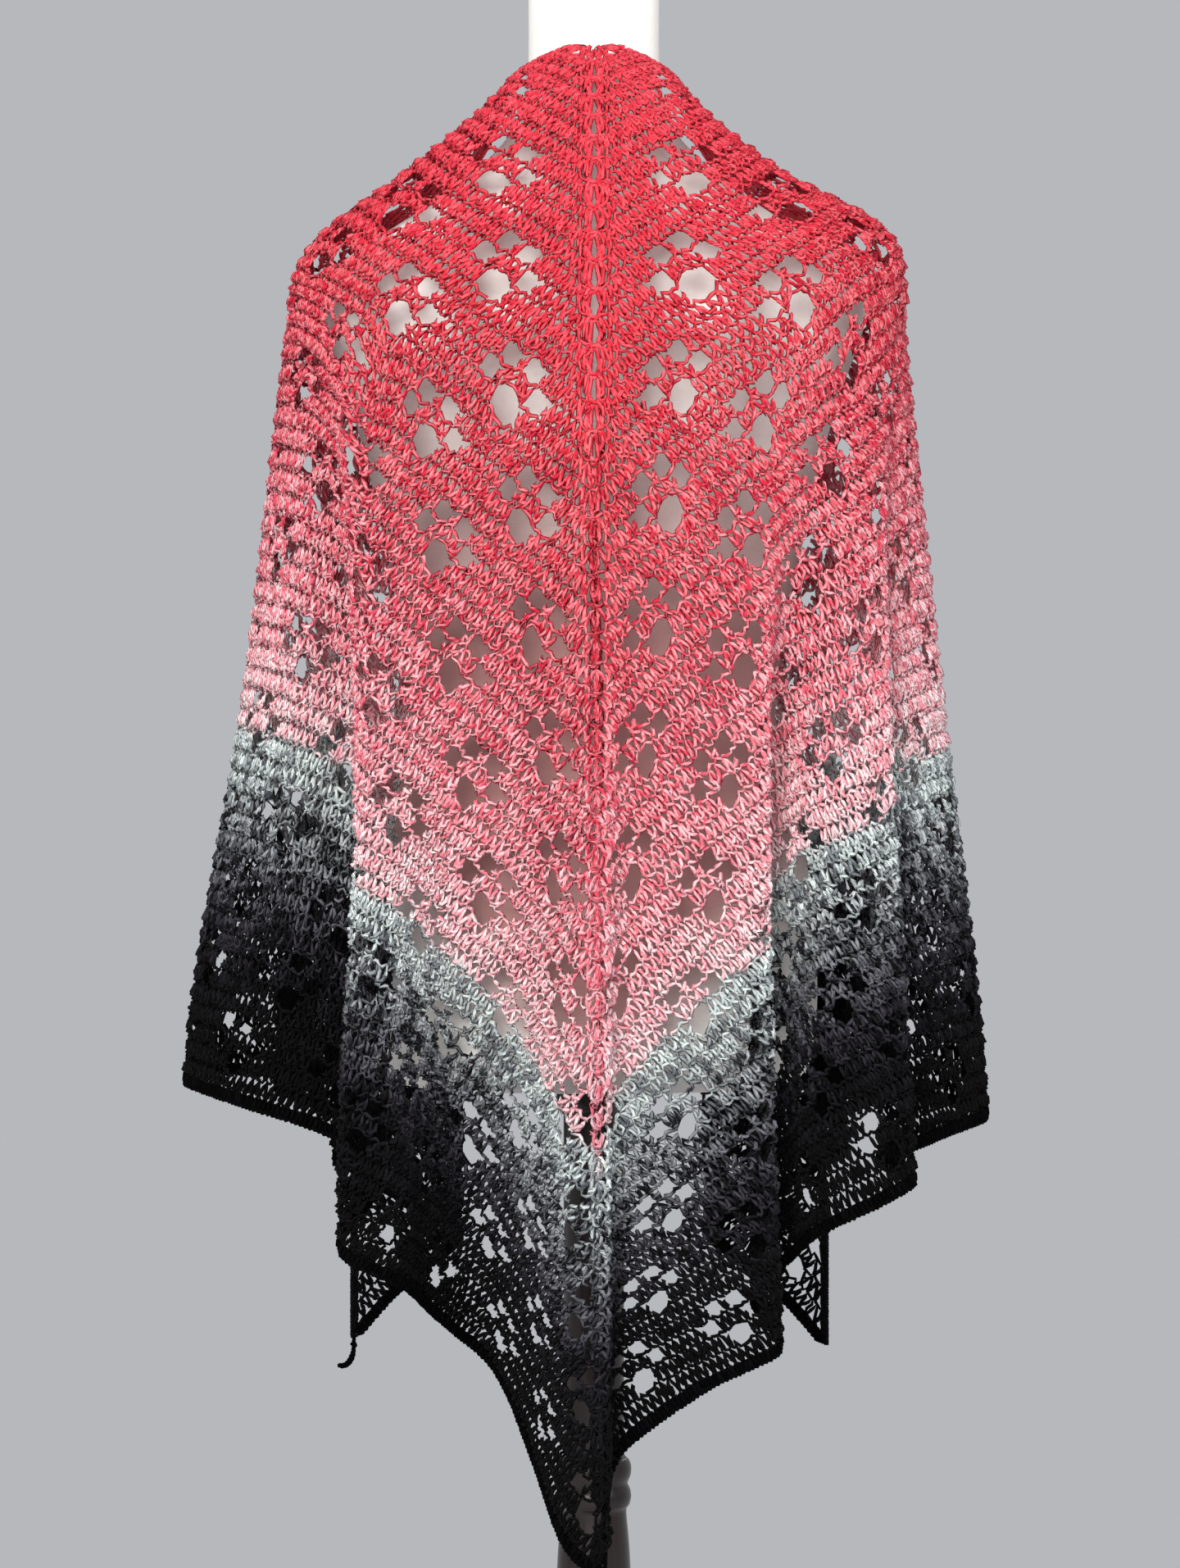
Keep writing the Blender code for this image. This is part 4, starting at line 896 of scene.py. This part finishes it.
def skin(name, rings, ends, material, twist=1.0):
    """Closed smooth surface through rings (n, sides, 3), capped by a fan to each end point."""
    n, sides = rings.shape[:2]
    verts = [tuple(p) for p in rings.reshape(-1, 3)] + [tuple(ends[0]), tuple(ends[1])]
    faces, baked = [], []
    for k in range(n - 1):
        for s in range(sides):
            t = (s + 1) % sides
            faces.append((k * sides + s, k * sides + t, (k + 1) * sides + t, (k + 1) * sides + s))
            v0, v1 = 0.08 + 0.84 * k / (n - 1), 0.08 + 0.84 * (k + 1) / (n - 1)
            u0, u1 = s / sides, (s + 1) / sides
            baked += [(u0, v0), (u1, v0), (u1, v1), (u0, v1)]
    low, high = n * sides, n * sides + 1
    for s in range(sides):
        t = (s + 1) % sides
        a, b = 2 * math.pi * s / sides, 2 * math.pi * (s + 1) / sides
        faces.append((t, s, low))
        baked += [(0.04 + 0.035 * math.cos(b), 0.04 + 0.035 * math.sin(b)), (0.04 + 0.035 * math.cos(a), 0.04 + 0.035 * math.sin(a)), (0.04, 0.04)]
        faces.append(((n - 1) * sides + s, (n - 1) * sides + t, high))
        baked += [(0.14 + 0.035 * math.cos(a), 0.04 + 0.035 * math.sin(a)), (0.14 + 0.035 * math.cos(b), 0.04 + 0.035 * math.sin(b)), (0.14, 0.04)]
    mesh = bpy.data.meshes.new(name)
    mesh.from_pydata(verts, [], faces)
    layer = mesh.uv_layers.new(name="OFBake")
    layer.data.foreach_set("uv", np.array(baked, np.float32).ravel())
    mesh.polygons.foreach_set("use_smooth", [True] * len(mesh.polygons))
    mesh.materials.append(material)
    mesh.update()
    made = bpy.data.objects.new(name, mesh)
    bpy.context.scene.collection.objects.link(made)
    return made


def form_skin(name, material, sides=96):
    table = np.array(FORM_SECTIONS)
    fine = np.linspace(0, len(table) - 1, 3 * (len(table) - 1) + 1)
    rows = through(fine, np.arange(len(table), dtype=float), table)
    turn = 2 * np.pi * np.arange(sides) / sides
    c, s = np.cos(turn)[None, :], np.sin(turn)[None, :]
    power = 2.0 / rows[:, 4:5]
    x = rows[:, 1:2] * np.sign(c) * np.abs(c) ** power
    y = rows[:, 3:4] + rows[:, 2:3] * np.sign(s) * np.abs(s) ** power
    rings = np.stack([x, y, np.repeat(rows[:, :1], sides, axis=1)], -1)
    return skin(name, rings, ((0, table[0][3], FORM_UNDERSIDE), (0, table[-1][3], FORM_TOP)), material)


def turned_skin(name, profile, material, sides=48, finer=3):
    table = np.array(profile)
    fine = np.linspace(0, len(table) - 1, finer * (len(table) - 1) + 1)
    rows = through(fine, np.arange(len(table), dtype=float), table)
    turn = 2 * np.pi * np.arange(sides) / sides
    rings = np.stack([rows[:, 1:2] * np.cos(turn)[None, :], rows[:, 1:2] * np.sin(turn)[None, :],
                      np.repeat(rows[:, :1], sides, axis=1)], -1)
    return skin(name, rings, ((0, 0, table[0][0]), (0, 0, table[-1][0])), material)


# ---------------------------------------------------------------- materials
def new_material(name, rough, **constants):
    made = bpy.data.materials.new(name)
    made.use_nodes = True
    tree = made.node_tree
    shader = tree.nodes["Principled BSDF"]
    shader.inputs["Roughness"].default_value = rough
    for socket, value in constants.items():
        shader.inputs[socket.replace("_", " ")].default_value = value
    return made, tree, shader


def math_node(tree, kind, *inputs):
    node = tree.nodes.new("ShaderNodeMath")
    node.operation = kind
    for socket, value in zip(node.inputs, inputs):
        if isinstance(value, (int, float)):
            socket.default_value = value
        else:
            tree.links.new(value, socket)
    return node.outputs[0]


def yarn_material(name, sheen, painted_shade, gloss):
    """Marled cotton: two plies of different colour laid round each other, with a fine fuzz; a painted shade darkens
    the grooves between the plies.
    """
    made, tree, shader = new_material(name, 0.82, Sheen_Weight=sheen, Sheen_Roughness=0.45, Specular_IOR_Level=gloss)
    new, link = tree.nodes.new, tree.links.new
    ply_light, ply_dark = new("ShaderNodeAttribute"), new("ShaderNodeAttribute")
    ply_light.attribute_name, ply_dark.attribute_name = "PlyLight", "PlyDark"
    along = new("ShaderNodeUVMap")
    along.uv_map = "Twist"
    split = new("ShaderNodeSeparateXYZ")
    link(along.outputs[0], split.inputs[0])
    round_, run = split.outputs[0], split.outputs[1]
    lay = math_node(tree, "ADD", round_, math_node(tree, "MULTIPLY", run, 1.0 / 15.0))
    wave = math_node(tree, "SINE", math_node(tree, "MULTIPLY", lay, 2.0 * math.pi))
    groove = math_node(tree, "ABSOLUTE", math_node(tree, "SINE", math_node(tree, "MULTIPLY", lay, 4.0 * math.pi)))
    place_ = new("ShaderNodeTexCoord")
    fuzz = new("ShaderNodeTexNoise")
    fuzz.inputs["Scale"].default_value = 2200.0
    fuzz.inputs["Detail"].default_value = 2.0
    link(place_.outputs["Object"], fuzz.inputs["Vector"])
    blotch = new("ShaderNodeTexNoise")
    blotch.inputs["Scale"].default_value = 420.0
    blotch.inputs["Detail"].default_value = 1.0
    link(place_.outputs["Object"], blotch.inputs["Vector"])
    sway = math_node(tree, "MULTIPLY", math_node(tree, "SUBTRACT", blotch.outputs["Fac"], 0.5), 1.8)
    share = new("ShaderNodeMapRange")
    share.interpolation_type = "SMOOTHSTEP"
    share.inputs["From Min"].default_value = -0.45
    share.inputs["From Max"].default_value = 0.45
    link(math_node(tree, "ADD", wave, sway), share.inputs["Value"])
    mix = new("ShaderNodeMix")
    mix.data_type = "RGBA"
    link(share.outputs[0], mix.inputs[0])
    link(ply_dark.outputs["Color"], mix.inputs[6])
    link(ply_light.outputs["Color"], mix.inputs[7])
    # painted shade: the colour is darker in the grooves between the plies, where the bump lies low, and a little
    # lighter on their crowns as a faint painted highlight; the fuzz adds a random tone
    shade = new("ShaderNodeMapRange")
    link(math_node(tree, "ADD", math_node(tree, "MULTIPLY", groove, 0.5), fuzz.outputs["Fac"]), shade.inputs["Value"])
    shade.inputs["From Min"].default_value = 0.35
    shade.inputs["From Max"].default_value = 1.1
    shade.inputs["To Min"].default_value = painted_shade
    shade.inputs["To Max"].default_value = 1.08
    tone = new("ShaderNodeMix")
    tone.data_type = "RGBA"
    tone.blend_type = "MULTIPLY"
    tone.inputs[0].default_value = 1.0
    link(mix.outputs[2], tone.inputs[6])
    link(shade.outputs[0], tone.inputs[7])
    link(tone.outputs[2], shader.inputs["Base Color"])
    bump = new("ShaderNodeBump")
    bump.inputs["Strength"].default_value = 0.9
    bump.inputs["Distance"].default_value = 0.0006
    link(math_node(tree, "ADD", groove, math_node(tree, "MULTIPLY", fuzz.outputs["Fac"], 0.8)), bump.inputs["Height"])
    link(bump.outputs[0], shader.inputs["Normal"])
    return made


def cover_material():
    """Off-white cotton stretched over padding: fine knit ribs with slight slubs and a faint yellowing, with painted
    pink bounce light and shade from the shawl at the lower back and sides.
    """
    made, tree, shader = new_material("form_cotton", 0.9, Sheen_Weight=0.12, Sheen_Roughness=0.5, Specular_IOR_Level=0.25)
    new, link = tree.nodes.new, tree.links.new
    place_ = new("ShaderNodeTexCoord")
    ribs = []
    for direction, scale in (("X", 520.0), ("Z", 430.0)):
        wave = new("ShaderNodeTexWave")
        wave.bands_direction = direction
        wave.inputs["Scale"].default_value = scale
        wave.inputs["Distortion"].default_value = 1.2
        wave.inputs["Detail"].default_value = 1.0
        link(place_.outputs["Object"], wave.inputs["Vector"])
        ribs.append(wave.outputs["Fac"])
    weave = math_node(tree, "ADD", ribs[0], ribs[1])
    cloud = new("ShaderNodeTexNoise")
    cloud.inputs["Scale"].default_value = 9.0
    cloud.inputs["Detail"].default_value = 4.0
    link(place_.outputs["Object"], cloud.inputs["Vector"])
    slub = new("ShaderNodeTexNoise")
    slub.inputs["Scale"].default_value = 260.0
    slub.inputs["Detail"].default_value = 3.0
    link(place_.outputs["Object"], slub.inputs["Vector"])
    mix = new("ShaderNodeMix")
    mix.data_type = "RGBA"
    mix.inputs[6].default_value = (*linear((238, 235, 228)), 1.0)
    mix.inputs[7].default_value = (*linear((250, 248, 244)), 1.0)
    link(cloud.outputs["Fac"], mix.inputs[0])
    height = new("ShaderNodeSeparateXYZ")
    link(place_.outputs["Object"], height.inputs[0])
    low = new("ShaderNodeMapRange")                 # painted pink bounce light and shade from the shawl, on the lower body's cover
    low.interpolation_type = "SMOOTHSTEP"
    low.inputs["From Min"].default_value = 1.24
    low.inputs["From Max"].default_value = 1.02
    link(height.outputs[2], low.inputs["Value"])
    behind = new("ShaderNodeMapRange")              # and only at the back and sides, under the cloth
    behind.interpolation_type = "SMOOTHSTEP"
    behind.inputs["From Min"].default_value = 0.045
    behind.inputs["From Max"].default_value = -0.02
    link(height.outputs[1], behind.inputs["Value"])
    under = new("ShaderNodeMapRange")               # and not where the grey rows lie over it
    under.interpolation_type = "SMOOTHSTEP"
    under.inputs["From Min"].default_value = 0.70
    under.inputs["From Max"].default_value = 0.80
    aside = math_node(tree, "MULTIPLY", math_node(tree, "ABSOLUTE", height.outputs[0]), 1.1)
    link(math_node(tree, "SUBTRACT", height.outputs[2], aside), under.inputs["Value"])
    # painted pink bounce light and shade from the shawl, mixed over the cover's own off-white
    painted_bounce_shade = new("ShaderNodeMix")
    painted_bounce_shade.data_type = "RGBA"
    painted_bounce_shade.inputs[7].default_value = (*linear((196, 148, 145)), 1.0)
    link(math_node(tree, "MULTIPLY", under.outputs[0], math_node(tree, "MULTIPLY", low.outputs[0], behind.outputs[0])), painted_bounce_shade.inputs[0])
    link(mix.outputs[2], painted_bounce_shade.inputs[6])
    mix = painted_bounce_shade
    shade = new("ShaderNodeMapRange")
    link(math_node(tree, "ADD", math_node(tree, "MULTIPLY", weave, 0.35), slub.outputs["Fac"]), shade.inputs["Value"])
    shade.inputs["From Max"].default_value = 1.5
    shade.inputs["To Min"].default_value = 0.9
    shade.inputs["To Max"].default_value = 1.05
    tone = new("ShaderNodeMix")
    tone.data_type = "RGBA"
    tone.blend_type = "MULTIPLY"
    tone.inputs[0].default_value = 1.0
    link(mix.outputs[2], tone.inputs[6])
    link(shade.outputs[0], tone.inputs[7])
    link(tone.outputs[2], shader.inputs["Base Color"])
    bump = new("ShaderNodeBump")
    bump.inputs["Strength"].default_value = 0.3
    bump.inputs["Distance"].default_value = 0.0004
    link(math_node(tree, "ADD", weave, slub.outputs["Fac"]), bump.inputs["Height"])
    link(bump.outputs[0], shader.inputs["Normal"])
    return made


def wood_material():
    """Near-black brown stained wood under a glossy varnish, grain running up the turning."""
    made, tree, shader = new_material("stained_wood", 0.36, Coat_Weight=0.22, Coat_Roughness=0.2, Specular_IOR_Level=0.32)
    new, link = tree.nodes.new, tree.links.new
    place_ = new("ShaderNodeTexCoord")
    stretch = new("ShaderNodeMapping")
    stretch.inputs["Scale"].default_value = (1.0, 1.0, 0.06)
    link(place_.outputs["Object"], stretch.inputs["Vector"])
    grain = new("ShaderNodeTexNoise")
    grain.inputs["Scale"].default_value = 240.0
    grain.inputs["Detail"].default_value = 6.0
    grain.inputs["Distortion"].default_value = 0.6
    link(stretch.outputs[0], grain.inputs["Vector"])
    cloud = new("ShaderNodeTexNoise")
    cloud.inputs["Scale"].default_value = 14.0
    cloud.inputs["Detail"].default_value = 3.0
    link(place_.outputs["Object"], cloud.inputs["Vector"])
    ramp = new("ShaderNodeValToRGB")
    ramp.color_ramp.elements[0].position = 0.32
    ramp.color_ramp.elements[0].color = (*linear((17, 11, 10)), 1.0)
    ramp.color_ramp.elements[1].position = 0.72
    ramp.color_ramp.elements[1].color = (*linear((40, 25, 21)), 1.0)
    link(math_node(tree, "ADD", math_node(tree, "MULTIPLY", grain.outputs["Fac"], 0.75), math_node(tree, "MULTIPLY", cloud.outputs["Fac"], 0.25)), ramp.inputs["Fac"])
    link(ramp.outputs["Color"], shader.inputs["Base Color"])
    rough = new("ShaderNodeMapRange")
    rough.inputs["To Min"].default_value = 0.24
    rough.inputs["To Max"].default_value = 0.44
    link(grain.outputs["Fac"], rough.inputs["Value"])
    link(rough.outputs[0], shader.inputs["Roughness"])
    bump = new("ShaderNodeBump")
    bump.inputs["Strength"].default_value = 0.2
    bump.inputs["Distance"].default_value = 0.0003
    link(grain.outputs["Fac"], bump.inputs["Height"])
    link(bump.outputs[0], shader.inputs["Normal"])
    return made


def floor_material():
    made, tree, shader = new_material("plain_floor", 0.9)
    noise = tree.nodes.new("ShaderNodeTexNoise")
    noise.inputs["Scale"].default_value = 30.0
    tint = tree.nodes.new("ShaderNodeMix")
    tint.data_type = "RGBA"
    tint.inputs[6].default_value = (*linear((196, 196, 198)), 1.0)
    tint.inputs[7].default_value = (*linear((202, 202, 204)), 1.0)
    tree.links.new(noise.outputs["Fac"], tint.inputs[0])
    tree.links.new(tint.outputs[2], shader.inputs["Base Color"])
    return made


# ---------------------------------------------------------------- the room
def soft_light(name, where, towards, size, power, colour):
    lamp = bpy.data.lights.new(name, "AREA")
    lamp.shape = "RECTANGLE"
    lamp.size, lamp.size_y = size
    lamp.energy = power
    lamp.color = colour
    made = bpy.data.objects.new(name, lamp)
    made.location = where
    way = np.array(towards, float) - np.array(where, float)
    flat = math.hypot(way[0], way[1])
    made.rotation_euler = (math.atan2(flat, -way[2]), 0.0, math.atan2(-way[0], way[1]))
    bpy.context.scene.collection.objects.link(made)
    return made


def room():
    world = bpy.data.worlds.new("soft_backdrop")
    bpy.context.scene.world = world
    world.use_nodes = True
    shade = world.node_tree.nodes["Background"]
    shade.inputs[0].default_value = (*linear((182, 184, 188)), 1.0)
    shade.inputs[1].default_value = 1.0
    bpy.context.scene.view_settings.view_transform = "Standard"
    soft_light("key", (-0.6, -3.0, 1.75), (0.0, 0.0, 1.0), (1.3, 1.3), 118.0, (1.0, 0.985, 0.965))
    soft_light("fill", (1.9, -2.0, 2.1), (0.0, 0.0, 0.9), (1.6, 1.8), 30.0, (0.97, 0.985, 1.0))
    soft_light("back", (0.4, 2.4, 2.2), (0.0, 0.0, 1.0), (2.0, 1.6), 16.0, (1.0, 1.0, 1.0))
    mesh = bpy.data.meshes.new("floor")
    mesh.from_pydata([(-2.6, -3.4, 0), (2.6, -3.4, 0), (2.6, 1.1, 0), (-2.6, 1.1, 0)], [], [(0, 1, 2, 3)])
    mesh.materials.append(floor_material())
    floor = bpy.data.objects.new("floor", mesh)
    bpy.context.scene.collection.objects.link(floor)
    view = bpy.data.cameras.new("photo_view")
    view.sensor_fit = "VERTICAL"
    view.sensor_height = 24.0
    view.lens = 54.6
    view.clip_start = 0.05
    camera = bpy.data.objects.new("photo_view", view)
    camera.location = (-0.0026, -2.45, 0.958)
    camera.rotation_euler = (math.pi / 2, 0.0, 0.0)
    bpy.context.scene.collection.objects.link(camera)
    bpy.context.scene.camera = camera


# ---------------------------------------------------------------- all of it
def settle(piece, node):
    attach(piece, "root")
    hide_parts(node)


def main():
    marl = yarn_material("marled_cotton", 0.015, 0.70, 0.05)
    black = yarn_material("black_cotton", 0.0, 0.60, 0.03)
    cover = cover_material()
    wood = wood_material()

    form = form_skin("form_cover_skin", cover)
    settle(form, "dress_form_torso")
    post = turned_skin("stand_post_turned", POST_PROFILE, wood)
    settle(post, "stand_post")
    foot = turned_skin("stand_base_turned", BASE_PROFILE, wood, sides=96)
    settle(foot, "stand_base")

    spine_gaps = spine_holes()
    for side, title, node in ((1, "right", "shawl_right_wing"), (-1, "left", "shawl_left_wing")):
        rng = np.random.default_rng(1105 + side)
        holes = np.concatenate([holes_of(rng), spine_gaps])
        for first, last in ((1, 48), (49, 59)):
            legs, over = wing_rows(side, first, last, holes, rng)
            cloth = legs.make(f"{title}_posts_{first}_{last}", marl)
            chains = over.make(f"{title}_chains_{first}_{last}", marl)
            for piece in (cloth, chains):
                settle(piece, node)
        cord = top_edge(side, rng).make(f"{title}_top_edge", marl)
        settle(cord, node)
        edge = border_yarn(side, rng).make(f"{title}_hem_cord", black)
        settle(edge, f"shawl_border_{title}")
    rng = np.random.default_rng(77)
    back = spine_yarn(rng).make("spine_chain", marl)
    settle(back, "shawl_spine")
    ends = end_yarn(rng).make("yarn_end", black)
    settle(ends, "shawl_yarn_end")
    room()


main()
